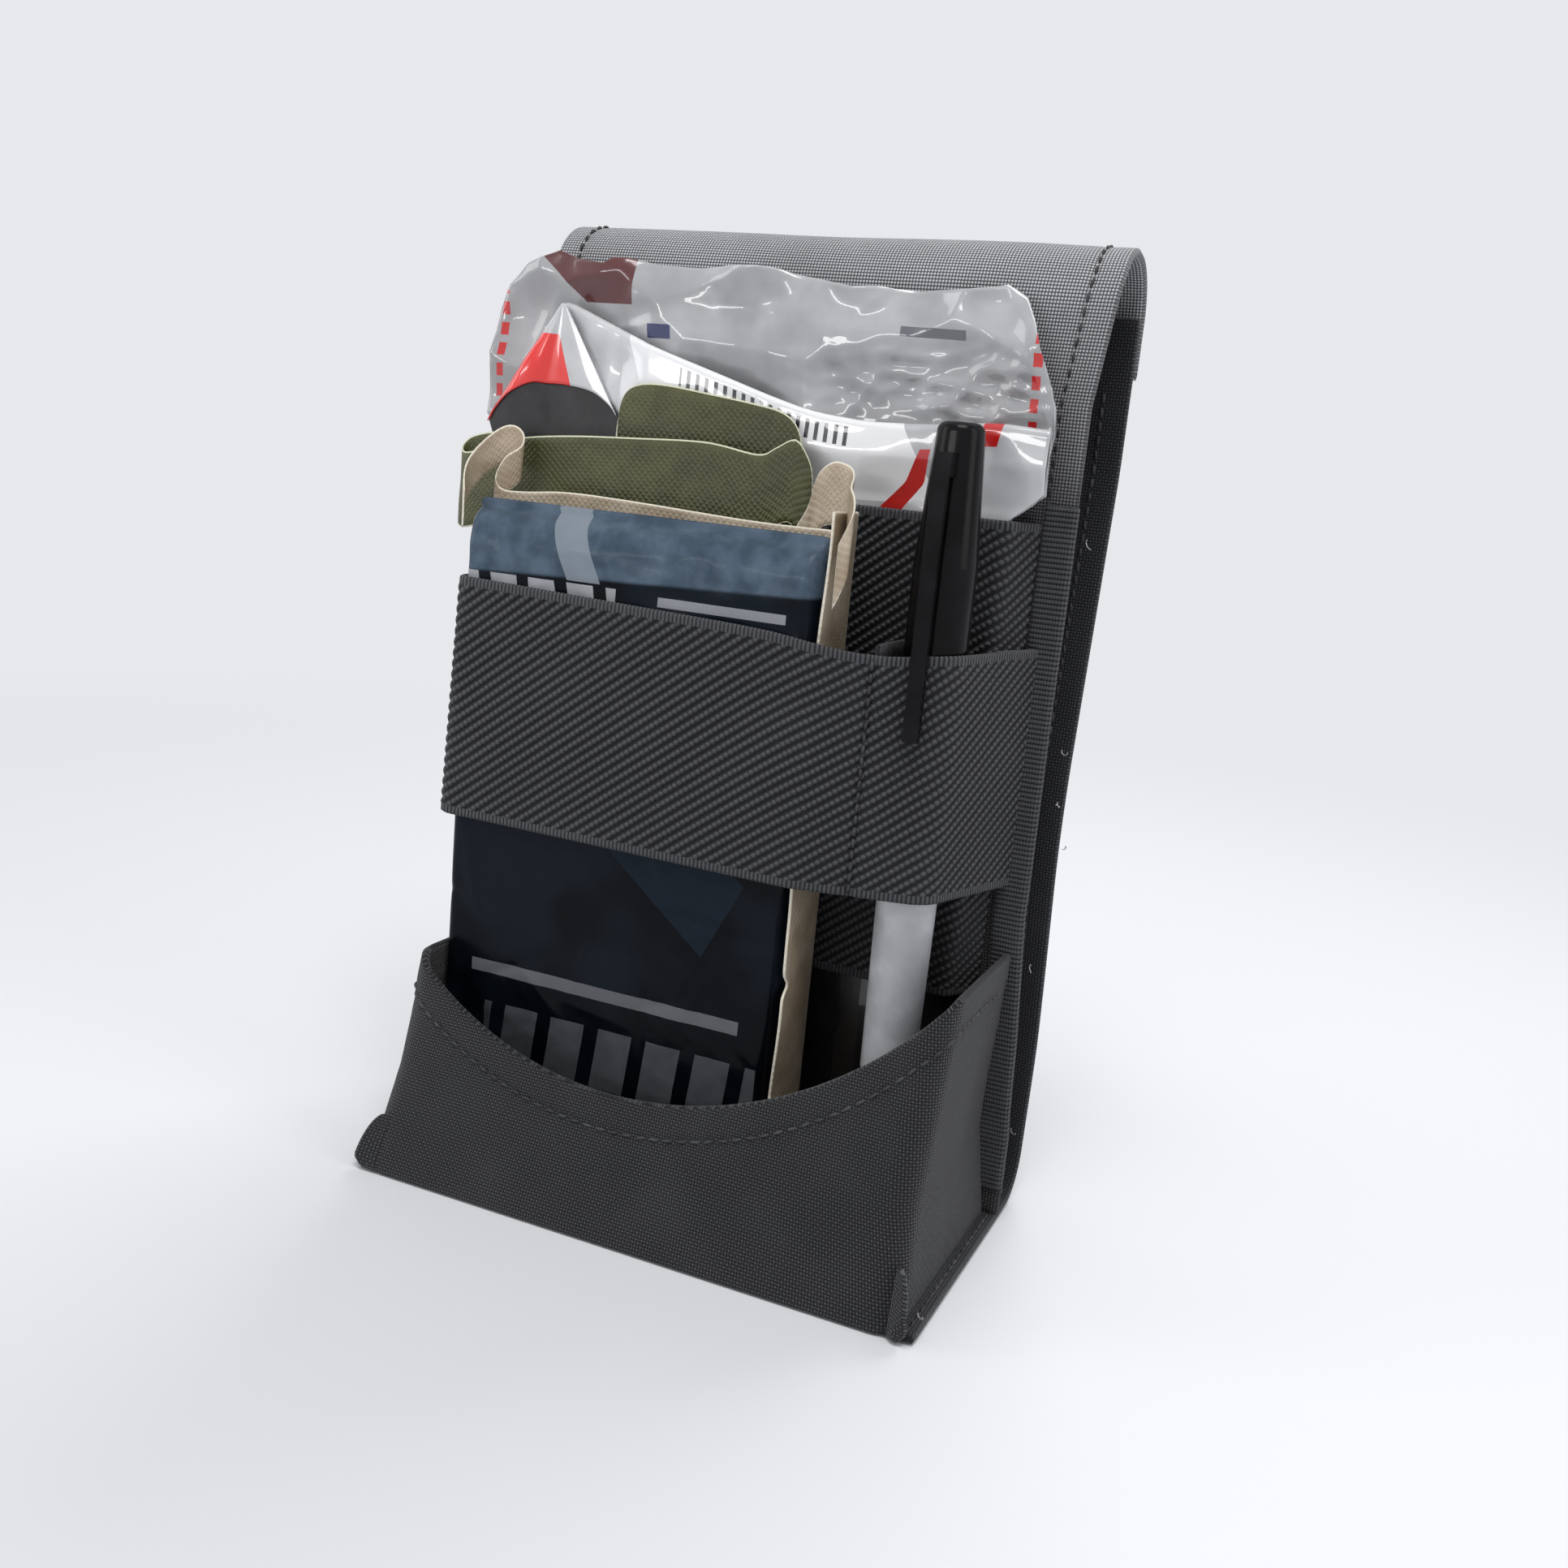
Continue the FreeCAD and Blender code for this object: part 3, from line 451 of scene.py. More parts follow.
def value_noise(x, y, cell, seed):
    """Smooth noise from -1 to 1 with features of about that size."""
    table = np.random.RandomState(seed).uniform(-1, 1, (64, 64))
    u, v = np.asarray(x) / cell, np.asarray(y) / cell
    i, j = np.floor(u).astype(int), np.floor(v).astype(int)
    a, b = u - i, v - j
    a, b = a * a * (3 - 2 * a), b * b * (3 - 2 * b)

    def at(p, q):
        return table[p % 64, q % 64]
    lower = at(i, j) * (1 - a) + at(i + 1, j) * a
    upper = at(i, j + 1) * (1 - a) + at(i + 1, j + 1) * a
    return lower * (1 - b) + upper * b


def creases(x, y, count, seed, box, length, height, width):
    """Short sharp ridges and valleys scattered over a film."""
    random = np.random.RandomState(seed)
    total = np.zeros(np.shape(x))
    for _ in range(count):
        across, up = random.uniform(box[0], box[1]), random.uniform(box[2], box[3])
        angle = random.uniform(0, math.pi)
        reach = length * random.uniform(0.4, 1.2)
        along = (x - across) * math.cos(angle) + (y - up) * math.sin(angle)
        beside = (y - up) * math.cos(angle) - (x - across) * math.sin(angle)
        fade = np.clip(1 - (along / reach) ** 2, 0, 1)
        size = random.uniform(-1, 1) * height
        total += size * fade * np.exp(-np.abs(beside) / (width * random.uniform(0.6, 1.6)))
    return total


def crumple(x, y, cell, seed, stretch=1.0):
    """Facets with sharp ridges between them, from 0 to about 1."""
    random = np.random.RandomState(seed)
    u = x / cell + value_noise(x, y, cell * 1.3, seed + 1) * 0.45
    v = y / cell * stretch + value_noise(x, y, cell * 1.7, seed + 2) * 0.45
    jitter = random.uniform(0, 1, (64, 64, 2))
    i, j = np.floor(u).astype(int), np.floor(v).astype(int)
    near = np.full(np.shape(u), 9.0)
    for p in (-1, 0, 1):
        for q in (-1, 0, 1):
            spot = jitter[(i + p) % 64, (j + q) % 64]
            near = np.minimum(near, np.hypot(i + p + spot[..., 0] - u, j + q + spot[..., 1] - v))
    return near


def rounded_path(points, radii, step):
    """Even points along a chain of straight runs whose corners are rounded."""
    points = [np.array(p, float) for p in points]
    dense = [points[0]]
    for k in range(1, len(points) - 1):
        before, here, after = points[k - 1], points[k], points[k + 1]
        a = (before - here) / np.linalg.norm(before - here)
        b = (after - here) / np.linalg.norm(after - here)
        half = math.acos(np.clip(np.dot(a, b), -1, 1)) / 2
        reach = radii[k - 1] / math.tan(half)
        middle = here + (a + b) / np.linalg.norm(a + b) * radii[k - 1] / math.sin(half)
        start, end = here + a * reach - middle, here + b * reach - middle
        for share in np.linspace(0, 1, 13):
            turn = start * (1 - share) + end * share
            dense.append(middle + turn / np.linalg.norm(turn) * radii[k - 1])
    dense.append(points[-1])
    return resample(np.array(dense), step)


def path_length(path):
    return np.r_[0, np.cumsum(np.linalg.norm(np.diff(path, axis=0), axis=1))]


def resample(path, step):
    lengths = path_length(path)
    count = max(2, int(round(lengths[-1] / step)) + 1)
    spots = np.linspace(0, lengths[-1], count)
    return np.stack([np.interp(spots, lengths, path[:, k]) for k in range(path.shape[1])], 1)


def smooth_curve(points, step):
    """A curve through points, evened to a step."""
    points = np.array(points, float)
    ends = np.vstack([2 * points[0] - points[1], points, 2 * points[-1] - points[-2]])
    dense = []
    for k in range(1, len(ends) - 2):
        p0, p1, p2, p3 = ends[k - 1:k + 3]
        for t in np.linspace(0, 1, 12, endpoint=False):
            dense.append(0.5 * (2 * p1 + (p2 - p0) * t + (2 * p0 - 5 * p1 + 4 * p2 - p3) * t * t
                                + (3 * p1 - p0 - 3 * p2 + p3) * t ** 3))
    dense.append(points[-1])
    return resample(np.array(dense), step)


def grid_normals(grid):
    along = np.gradient(grid, axis=0)
    up = np.gradient(grid, axis=1)
    normal = np.cross(along, up)
    return unit(normal)


def build(name, points, faces, uvs, edges, material):
    """A mesh from millimetres, with its place along the cloth and its distance from the cloth's edge."""
    mesh = bpy.data.meshes.new(name)
    mesh.from_pydata((np.array(points) * MM).tolist(), [], faces)
    layer = mesh.uv_layers.new(name="cloth")
    corner = np.zeros(len(mesh.loops), int)
    mesh.loops.foreach_get("vertex_index", corner)
    layer.data.foreach_set("uv", np.array(uvs, float)[corner].ravel())
    rim = mesh.uv_layers.new(name="edge")
    pairs = np.stack([np.array(edges, float), np.zeros(len(edges))], 1)
    rim.data.foreach_set("uv", pairs[corner].ravel())
    mesh.polygons.foreach_set("use_smooth", [True] * len(mesh.polygons))
    mesh.materials.append(material)
    mesh.update()
    return add_object(name, mesh)


def cloth(name, grid, thick, uv, material, rise=None, normals=None, sink=None):
    """A closed sheet round a grid of mid points. Rise lifts its outer side and sink its inner."""
    grid = np.array(grid, float)
    n, m = grid.shape[:2]
    normal = grid_normals(grid) if normals is None else normals
    half = np.broadcast_to(np.asarray(thick, float) / 2, (n, m))[..., None]
    lift = 0 if rise is None else rise[..., None]
    drop = 0 if sink is None else sink[..., None]
    outer = grid + normal * (half + lift)
    inner = grid - normal * (half + drop)
    border = [(i, 0) for i in range(n)] + [(n - 1, j) for j in range(1, m)]
    border += [(i, m - 1) for i in range(n - 2, -1, -1)] + [(0, j) for j in range(m - 2, 0, -1)]
    rim = []
    for i, j in border:
        inward = grid[min(max(i, 1), n - 2), min(max(j, 1), m - 2)] - grid[i, j]
        size = max(np.linalg.norm(inward), 1e-9)
        rim.append((outer[i, j] + inner[i, j]) / 2 - inward / size * half[i, j, 0] * 0.7)
    points = np.concatenate([outer.reshape(-1, 3), inner.reshape(-1, 3), np.array(rim)])
    index = np.arange(n * m).reshape(n, m)
    quads = np.stack([index[:-1, :-1], index[1:, :-1], index[1:, 1:], index[:-1, 1:]], -1).reshape(-1, 4)
    faces = quads.tolist() + (quads[:, ::-1] + n * m).tolist()
    count = len(border)
    for k in range(count):
        a, b = index[border[k]], index[border[(k + 1) % count]]
        c, d = 2 * n * m + k, 2 * n * m + (k + 1) % count
        faces += [[b, a, c, d], [d, c, a + n * m, b + n * m]]
    flat = np.stack([np.broadcast_to(uv[0], (n, m)), np.broadcast_to(uv[1], (n, m))], -1)
    sides = flat.reshape(-1, 2)
    uvs = np.concatenate([sides, sides, np.array([flat[i, j] for i, j in border])])
    steps = path_length(grid[:, m // 2])
    rows = path_length(grid[n // 2])
    from_ends, from_sides = np.minimum(steps, steps[-1] - steps), np.minimum(rows, rows[-1] - rows)
    away = np.minimum(from_ends[:, None], from_sides[None, :]).ravel()
    edges = np.concatenate([away, away, np.zeros(count)])
    return build(name, points, faces, uvs, edges, material)


def settle(piece, body, slot, *nodes):
    """Says what a finished piece moves with and stands for: attaches it to its body and hides the CAD nodes it
    replaces. The slot, which names its finish, is not used.
    """
    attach(piece, body)
    if nodes:
        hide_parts(*nodes)
    return piece


def stitch_row(name, path, normals, seed, pitch=3.0, length=2.3, radius=0.3):
    """A row of sewn stitches lying on a surface along a path."""
    random = np.random.RandomState(seed)
    steps = path_length(path)

    def at(spot, values):
        return np.array([np.interp(spot, steps, values[:, k]) for k in range(3)])
    profile = [(-0.5, 0.25, -0.9), (-0.38, 0.8, -0.1), (0, 1.05, 0.25), (0.38, 0.8, -0.1), (0.5, 0.25, -0.9)]
    points, faces, uvs = [], [], []
    for spot in np.arange(pitch / 2, steps[-1], pitch):
        here, normal = at(spot, path), at(spot, normals)
        tangent = unit(at(min(spot + 0.5, steps[-1]), path) - at(max(spot - 0.5, 0), path))
        side = unit(np.cross(normal, tangent))
        tangent = tangent + side * random.uniform(-0.12, 0.12)
        start = len(points)
        for along, girth, lift in profile:
            centre = here + tangent * along * length + normal * radius * lift
            for k in range(6):
                turn = k * math.pi / 3
                points.append(centre + radius * girth * (side * math.cos(turn) + normal * math.sin(turn)))
                uvs.append((spot + along * length, turn))
        for ring in range(4):
            for k in range(6):
                a, b = start + ring * 6 + k, start + ring * 6 + (k + 1) % 6
                faces.append([a, b, b + 6, a + 6])
        faces.append([start + k for k in range(5, -1, -1)])
        faces.append([start + 24 + k for k in range(6)])
    return build(name, points, faces, uvs, np.ones(len(points)), THREAD)


def strip_grid(path):
    """A grid as wide as the board on a side path of depth behind it and height, with its x and run."""
    across = np.linspace(-HALF_BOARD, HALF_BOARD, int(88 / COARSE))
    x, run = np.meshgrid(across, path_length(path), indexing="ij")
    return np.stack([x, BOARD + path[None, :, 0] + 0 * x, path[None, :, 1] + 0 * x], -1), x, run


def box_grid(node, columns, rows):
    """An upright grid through the middle of a node's box, with the box's thickness."""
    low, high = node_box(node)
    xs, zs = np.linspace(low[0], high[0], columns), np.linspace(low[2], high[2], rows)
    x, z = np.meshgrid(xs, zs, indexing="ij")
    return np.stack([x, (low[1] + high[1]) / 2 + 0 * x, z], -1), high[1] - low[1]


def place(x, depth, z):
    """A point from how far right, how far in front of the board, and how high."""
    x, depth, z = np.broadcast_arrays(*(np.asarray(value, float) for value in (x, depth, z)))
    return np.stack([x, BOARD - depth, z], -1)


def upright_band(path, low, high, step):
    """A grid that stands on a plan path of x and forward depth."""
    rows = np.linspace(low, high, len(np.arange(low, high + step / 2, step)))
    grid = place(path[:, None, 0], path[:, None, 1], rows[None, :])
    along = path_length(path)[:, None] + 0 * rows[None, :]
    return grid, along, rows[None, :] - low + 0 * along


# Materials

# The nylon's roll is painted paler towards the top: wear plus painted highlight.
NYLON = woven("nylon", (0.014, 0.014, 0.015), (0.10, 0.101, 0.105), 0.70, wear_and_highlight=6.2)
NYLON_DARK = woven("nylon_dark", (0.006, 0.0065, 0.008), (0.055, 0.057, 0.064), 0.66)
# Darker than the panel's nylon: partly the pocket cloth's own black, partly painted shade for the pocket front,
# which stands in shade.
POCKET_CLOTH = woven("pocket_cloth", (0.005, 0.0053, 0.0062), (0.078, 0.0795, 0.086), 0.62, height=0.2)
LINING = woven("lining", (0.006, 0.006, 0.007), (0.02, 0.021, 0.023), 0.5)
PILE = woven("pile", (0.008, 0.008, 0.010), (0.04, 0.04, 0.045), 0.9, height=0.4)
TAPE = ribbed_tape("tape", (0.004, 0.004, 0.005), (0.075, 0.077, 0.084))
FRONT_ELASTIC = elastic_cloth("front_elastic", FRONT_BAND, (0.003, 0.0032, 0.004), (0.072, 0.0745, 0.083))
REAR_ELASTIC = elastic_cloth("rear_elastic", REAR_BAND, (0.003, 0.0032, 0.004), (0.066, 0.0685, 0.076))
THREAD = moulded("thread", (0.008, 0.008, 0.009), (0.05, 0.051, 0.056), 0.6)
PALE_THREAD = moulded("pale_thread", (0.35, 0.35, 0.34), (0.6, 0.6, 0.58), 0.7)
PRINT = printed_film()
TAN = plain_film("tan_film", (0.36, 0.28, 0.19), (0.54, 0.45, 0.34), (0.80, 0.74, 0.62), 0.42, 0.10)
OLIVE = plain_film("olive_film", (0.038, 0.040, 0.008), (0.078, 0.080, 0.022), (0.66, 0.66, 0.48), 0.36, 0.10)
GAUZE = woven("gauze", (0.45, 0.45, 0.43), (0.85, 0.85, 0.82), 0.9)
RUBBER = moulded("wrap_rubber", (0.02, 0.02, 0.022), (0.05, 0.05, 0.055), 0.7)
# Near-black inner side of the foil: painted shade for the dark inside of the folded corner.
INNER_FOIL_PAINTED_SHADE = moulded("inner_foil_painted_shade", (0.010, 0.010, 0.011), (0.028, 0.028, 0.030), 0.55)
GEL = moulded("clear_film", (0.5, 0.53, 0.56), (0.7, 0.73, 0.76), 0.2)
CAP = moulded("cap_plastic", (0.002, 0.002, 0.0025), (0.006, 0.006, 0.007), 0.2, specular=0.13)
BLACK = moulded("black_plastic", (0.008, 0.008, 0.009), (0.02, 0.02, 0.022), 0.45)
BARREL = moulded("barrel_plastic", (0.36, 0.37, 0.39), (0.50, 0.51, 0.53), 0.42)
FELT = moulded("felt", (0.01, 0.01, 0.011), (0.03, 0.03, 0.032), 0.9)


# Webbing

def drawn_in(z):
    """How far the sewn edges pull in between the roll and the pocket."""
    return 3.0 * np.interp(z, (20, 70, 178, 204), (0, 1, 1, 0))


def make_carrier():
    """Panel, rolled top and rear flap as one length of webbing that bends at the flap."""
    mid = WEBBING / 2
    run = [(mid, z) for z in np.linspace(1.7, FOLD_HEIGHT, 90)]
    roll = FOLD_RADIUS - mid
    run += [(FOLD_RADIUS - roll * math.cos(t), FOLD_HEIGHT + roll * math.sin(t))
            for t in np.linspace(0.03, math.pi, 60)]
    run += [(2 * FOLD_RADIUS - mid, z) for z in np.linspace(FOLD_HEIGHT - 1, FOLD_HEIGHT - 11.4, 10)]
    path = resample(np.array(run), 1.5 * COARSE)
    grid, x, s = strip_grid(path)
    normal = grid_normals(grid)
    slack = ramp(s, 150, 40) * 0.35
    grid = grid + normal * (value_noise(x, s, 34, 3) * slack)[..., None]
    outer = ramp(np.abs(x), 35, 25) * np.sign(x)
    grid[..., 0] -= outer * drawn_in(grid[..., 2]) * (grid[..., 1] < BOARD + FOLD_RADIUS)
    groove = np.exp(-((np.abs(x) - HALF_BOARD + SEAM_INSET) / 0.8) ** 2) * ramp(s, 5, 3)
    rise = value_noise(x, s, 9, 4) * 0.05 - groove * 0.3
    piece = cloth("carrier_strip", grid, WEBBING, (x, s), NYLON, rise=rise)
    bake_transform(piece)
    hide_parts("back_panel", "belt_flap")
    top = normal[0]
    turn = int(np.searchsorted(path_length(path), 196 + 12.6 * 2.0))
    for k, edge in enumerate((-HALF_BOARD + SEAM_INSET, HALF_BOARD - SEAM_INSET)):
        inset = drawn_in(path[:turn, 1]) * (path[:turn, 0] < FOLD_RADIUS) * np.sign(edge) * 0.98
        line = np.stack([edge - inset, BOARD + path[:turn, 0], path[:turn, 1]], -1)
        outside = line + top[:turn] * 0.8
        keep = outside[:, 2] > 8
        settle(stitch_row(f"panel_stitches_{k}", outside[keep], top[:turn][keep], k, length=2.2, radius=0.36),
               "pouch", "nylon")


def make_flap_hem():
    high = FOLD_HEIGHT - 11.5 + 6
    run = rounded_path([(26.6, 190), (26.6, 186.3), (27.6, 186.3), (27.6, high)], [0.45, 0.45], 0.5)
    grid, x, _ = strip_grid(run)
    down = grid[..., 2] + grid[..., 1] - BOARD
    settle(cloth("flap_hem", grid, 0.8, (x, down), NYLON_DARK), "flap", "nylon")
    line = np.array([(across, BOARD + 28.05, high - 1.6) for across in x[:, 0]])
    settle(stitch_row("hem_stitches", line, np.tile((0, 1.0, 0), (len(line), 1)), 5), "flap", "nylon")
    for name, body in (("hook_patch", "flap"), ("loop_patch", "pouch")):
        grid, thick = box_grid(name, 60, 10)
        x, z = grid[..., 0], grid[..., 2]
        nap = value_noise(x, z, 1.7, 8) * 0.04
        settle(cloth(name + "_cloth", grid, thick - 0.1, (x, z), PILE, rise=nap), body, "hook_loop", name)


def make_base_and_strap():
    """The same webbing under the pocket and up behind the panel to form the belt loop."""
    head = 2 * FOLD_RADIUS - WEBBING - STRAP - 0.3
    outside = [(-57, 0.8), (16.5, 0.8), (18.7, 36), (11.7, 90), (head - 0.8, 165), (head - 0.8, FOLD_HEIGHT)]
    path = rounded_path(outside, [10.2, 60, 120, 60], 1.6 * COARSE)
    grid, x, s = strip_grid(path)
    along = path_length(path)
    free = ramp(s, 100, 30) * ramp(s, along[-1] - 25, -25)
    normal = grid_normals(grid)
    grid = grid + normal * (value_noise(x, s, 40, 11) * 0.6 * free)[..., None]
    piece = cloth("base_and_strap", grid, STRAP, (x, s), NYLON_DARK, rise=value_noise(x, s, 8, 12) * 0.04)
    settle(piece, "pouch", "nylon", "base_strip", "belt_strap")
    outward = normal[0]
    for k, edge in enumerate((-HALF_BOARD + 5, HALF_BOARD - 5)):
        keep = (along > 62) & (along < along[-1] - 14)
        line = np.stack([np.full(len(path), edge), BOARD + path[:, 0], path[:, 1]], -1)
        for name, face in (("rear", -1), ("front", 1)):
            row = stitch_row(f"strap_stitches_{k}_{name}", (line + outward * 0.85 * face)[keep],
                             outward[keep] * face, 20 + k, radius=0.38)
            settle(row, "pouch", "nylon")
        keep = along < 70
        line = line + outward * 0.85 + np.array([(3.6 if k else -3.6), 0, 0])
        row = stitch_row(f"base_stitches_{k}", line[keep], outward[keep], 30 + k, radius=0.36)
        settle(row, "pouch", "nylon")


def make_lining_and_bindings():
    grid = box_grid("panel_lining", 50, 50)[0][::-1]
    piece = cloth("panel_lining_cloth", grid, 0.9, (grid[..., 0], grid[..., 2]), LINING)
    settle(piece, "pouch", "lining", "panel_lining")
    for side, name, lip in ((-1, "side_binding_left", 1.1), (1, "side_binding_right", 5.8)):
        plan = rounded_path([(HALF_BOARD - lip, 0.45), (HALF_BOARD + 0.4, 0.45), (HALF_BOARD + 0.4, -2.25),
                             (HALF_BOARD - 10, -2.25)], [0.5, 0.5], 0.8)
        plan[:, 0] *= side
        if side > 0:
            plan = plan[::-1]
        grid, along, up = upright_band(plan, 8, 158, 1.5)
        grid[..., 0] -= side * drawn_in(grid[..., 2])
        sway = value_noise(up, 0 * up, 18, 40 + side) * 0.25
        grid[..., 0] += sway * np.clip(1 - np.abs(np.abs(grid[..., 0]) - HALF_BOARD) / 6, 0, 1)
        piece = cloth(name + "_tape", grid, 0.75, (along, up), TAPE)
        settle(piece, "pouch", "binding", name)


# Foot pocket

def pocket_plan(z, grow, count):
    """The pocket's plan at a height: x and forward depth from its rear left to its rear right edge."""
    left = np.interp(z, [1.6, 22, 62], [64.6, 63.6, 63.6]) + grow
    right = np.interp(z, [1.6, 22, 62], [62.4, 59.8, 61.0]) + grow
    depth = np.interp(z, [1.6, 22, 62], [58, 50, 39]) + grow
    corner = 5.0
    path = rounded_path([(-left, 1.0), (-left, depth), (right, depth), (right, 1.0)], [corner, corner], 1.0)
    return resample(path, path_length(path)[-1] / (count - 1))[:count]


def make_pocket():
    """The boxed foot pocket. Its mouth is a scallop, found in a few rounds because the walls lean."""
    count, rows = int(190 / COARSE), int(44 / COARSE)
    grid = np.zeros((count, rows, 3))
    levels = np.linspace(0, 1, rows)
    tops = np.full(count, 40.0)
    half = 0.6
    lowest, highest, scallop, middle = 28, 62, 88.0, -9
    for _ in range(4):
        xs = np.array([pocket_plan(t, -half, count)[i, 0] for i, t in enumerate(tops)])
        tops = np.minimum(lowest + scallop - np.sqrt(scallop ** 2 - (xs - middle) ** 2), highest)
    ahead = pocket_plan(1.7, -half, count)[:, 1]
    foot = 1.7 - 1.4 * ramp(ahead, 52, 4)
    heights = foot[:, None] + (tops - foot)[:, None] * levels[None, :]
    stack = np.linspace(0.2, 62.2, 60)
    plans = np.array([pocket_plan(z, -half, count) for z in stack])
    for i in range(count):
        grid[i, :, 0] = np.interp(heights[i], stack, plans[:, i, 0])
        grid[i, :, 1] = BOARD - np.interp(heights[i], stack, plans[:, i, 1])
        grid[i, :, 2] = heights[i]
    along = path_length(plans[20])[:, None] + 0 * heights
    from_edge = tops[:, None] - heights
    hem = ramp(from_edge, 8, -0.6)
    normal = grid_normals(grid)
    sag = value_noise(along, heights, 30, 51) * 0.7 * np.sin(np.pi * levels)[None, :]
    pucker = (np.cos(along / 3.1 * 2 * math.pi) * 0.06 - 0.3) * np.exp(-((from_edge - 6.3) / 0.8) ** 2)
    grid = grid + normal * sag[..., None]
    piece = cloth("pocket", grid, 1.1 + hem * 0.7, (along, heights), POCKET_CLOTH, rise=pucker - 0.05)
    settle(piece, "pouch", "nylon", "pocket_shell", "pocket_hem")
    share = np.clip(1 - 6.3 / np.maximum(tops - 1.7, 1), 0, 1) * (rows - 1)
    low = np.floor(share).astype(int)
    part = (share - low)[:, None]
    high = np.minimum(low + 1, rows - 1)
    spots = np.arange(count)
    line = grid[spots, low] * (1 - part) + grid[spots, high] * part + normal[spots, low] * 0.75
    settle(stitch_row("pocket_hem_stitches", line[6:-6], normal[spots, low][6:-6], 52, pitch=3.1, radius=0.4),
           "pouch", "nylon")
    make_corner_flanges()


def make_corner_flanges():
    """The sewn edges that stand out at the foot's two front corners."""
    for name, side, root, away, longest, nodes in (
            ("left", -1, (-60.3, 57.4), (-1.0, 0.0), 5.9, ["corner_seams"]),
            ("right", 1, (60.4, 57.0), (0.75, 0.66), 4.4, [])):
        reach, up = np.meshgrid(np.linspace(0, 1, 9), np.linspace(0, 1, 16), indexing="ij")
        height = 0.5 + up * 12
        length = longest * np.sqrt(np.clip(1 - up ** 2.2, 0, 1)) * np.clip(0.55 + up * 3, 0, 1) + 0.4
        lean = np.interp(height, [1.6, 22], [0, 8])
        x = root[0] + away[0] * reach * length - side * 0.05 * height
        depth = root[1] + away[1] * reach * length - lean
        x = np.clip(x, -66.4, 66.4)
        grid = place(x, np.minimum(depth, 58.3), height)
        if side < 0:
            grid = grid[::-1]
        piece = cloth(f"corner_flange_{name}", grid, 1.2, (reach * 4, height), POCKET_CLOTH)
        settle(piece, "pouch", "nylon", *nodes)


# Elastic bands

def slant_relief(along, up, height):
    """The raised slanted rows of the elastic, flat at its two edges."""
    row = (up * SLANT_UP - along * SLANT_ALONG) / ROW_PITCH
    ridge = np.abs(np.sin(np.pi * row)) ** 2
    edge = np.abs(up - height / 2) > height / 2 - SELVEDGE
    return np.where(edge, 0.08, ridge * 0.42 - 0.16)


def wrap_corner(start, end, centre, radius):
    """Where the two straight runs of a band drawn round a circle would meet."""
    angles = []
    for point, side in ((start, 1), (end, -1)):
        across, ahead = centre[0] - point[0], centre[1] - point[1]
        angles.append(math.atan2(ahead, across) + side * math.asin(radius / math.hypot(across, ahead)))
    (c1, s1), (c2, s2) = [(math.cos(a), math.sin(a)) for a in angles]
    gap = (end[0] - start[0], end[1] - start[1])
    run = (gap[0] * s2 - gap[1] * c2) / (c1 * s2 - s1 * c2)
    return start[0] + run * c1, start[1] + run * s1


def make_bands():
    step = 0.45 * COARSE
    half = 0.65
    left, inner, right = -60.5 - half, 7.6 + half, 50.1 + half
    plan = rounded_path([(left, 0.2), (left, inner), (right, inner), (54.6 + half, 0.2)], [3.1, 3.1], step)
    grid, along, up = upright_band(plan, 52.4, 154, step)
    grid[..., 0] += (up - 100) * 0.012 * np.clip(grid[..., 0] / 50, 0, 1)
    piece = cloth("rear_band", grid, 1.05, (along, up), REAR_ELASTIC, rise=slant_relief(along, up, REAR_BAND))
    settle(piece, "pouch", "elastic", "rear_elastic_band")

    left, inner = -62.2 - half, 34.6 + half
    shoulder = (21.9, inner)
    end = (57.4 + half, 0.2)
    wrap = wrap_corner(shoulder, end, (43, 22), 6.7 + half)
    plan = rounded_path([(left, 0.2), (left, inner), shoulder, wrap, end], [3.6, 8.0, 6.7 + half], step)
    grid, along, up = upright_band(plan, 77.5, 128.3, step)
    seam_x, groove_x = 33.5, 33.3
    seam = np.exp(-((grid[..., 0] - seam_x) / 1.6) ** 2) * (grid[..., 1] < BOARD - 20)
    grid[..., 1] += seam * 0.5
    share = up / FRONT_BAND
    tilt = ramp(grid[..., 0], 20, -80) * ramp(grid[..., 1], BOARD, -30)
    grid[..., 2] += tilt * 2.4 * (0.25 + share * 0.75)
    grid[..., 0] -= tilt * (1 - share) * 2.0
    dip = np.exp(-((grid[..., 0] - seam_x) / 14) ** 2) * (grid[..., 1] < BOARD - 15)
    grid[..., 2] -= dip * 2.2 * share
    groove = np.exp(-((grid[..., 0] - groove_x) / 0.7) ** 2) * (grid[..., 1] < BOARD - 20)
    rise = slant_relief(along, up, FRONT_BAND) - groove * 0.3
    piece = cloth("front_band", grid, 1.05, (along, up), FRONT_ELASTIC, rise=rise)
    settle(piece, "pouch", "elastic", "front_elastic_band")
    nearest = int(np.argmin(np.abs(plan[:, 0] - groove_x) + (plan[:, 1] < 20) * 100))
    normal = grid_normals(grid)
    line = grid[nearest] + normal[nearest] * 0.6
    settle(stitch_row("divider_stitches", line, normal[nearest], 60, pitch=2.4, length=2.1, radius=0.45),
           "pouch", "elastic")
    low, high = node_box("bay_divider")
    ys, zs = np.linspace(low[1], high[1], 14), np.linspace(low[2], high[2], 30)
    y, z = np.meshgrid(ys, zs, indexing="ij")
    grid = np.stack([(low[0] + high[0]) / 2 + 0 * y, y, z], -1)
    settle(cloth("bay_divider_cloth", grid, 0.9, (y, z), REAR_ELASTIC), "pouch", "elastic", "bay_divider")


# Packs

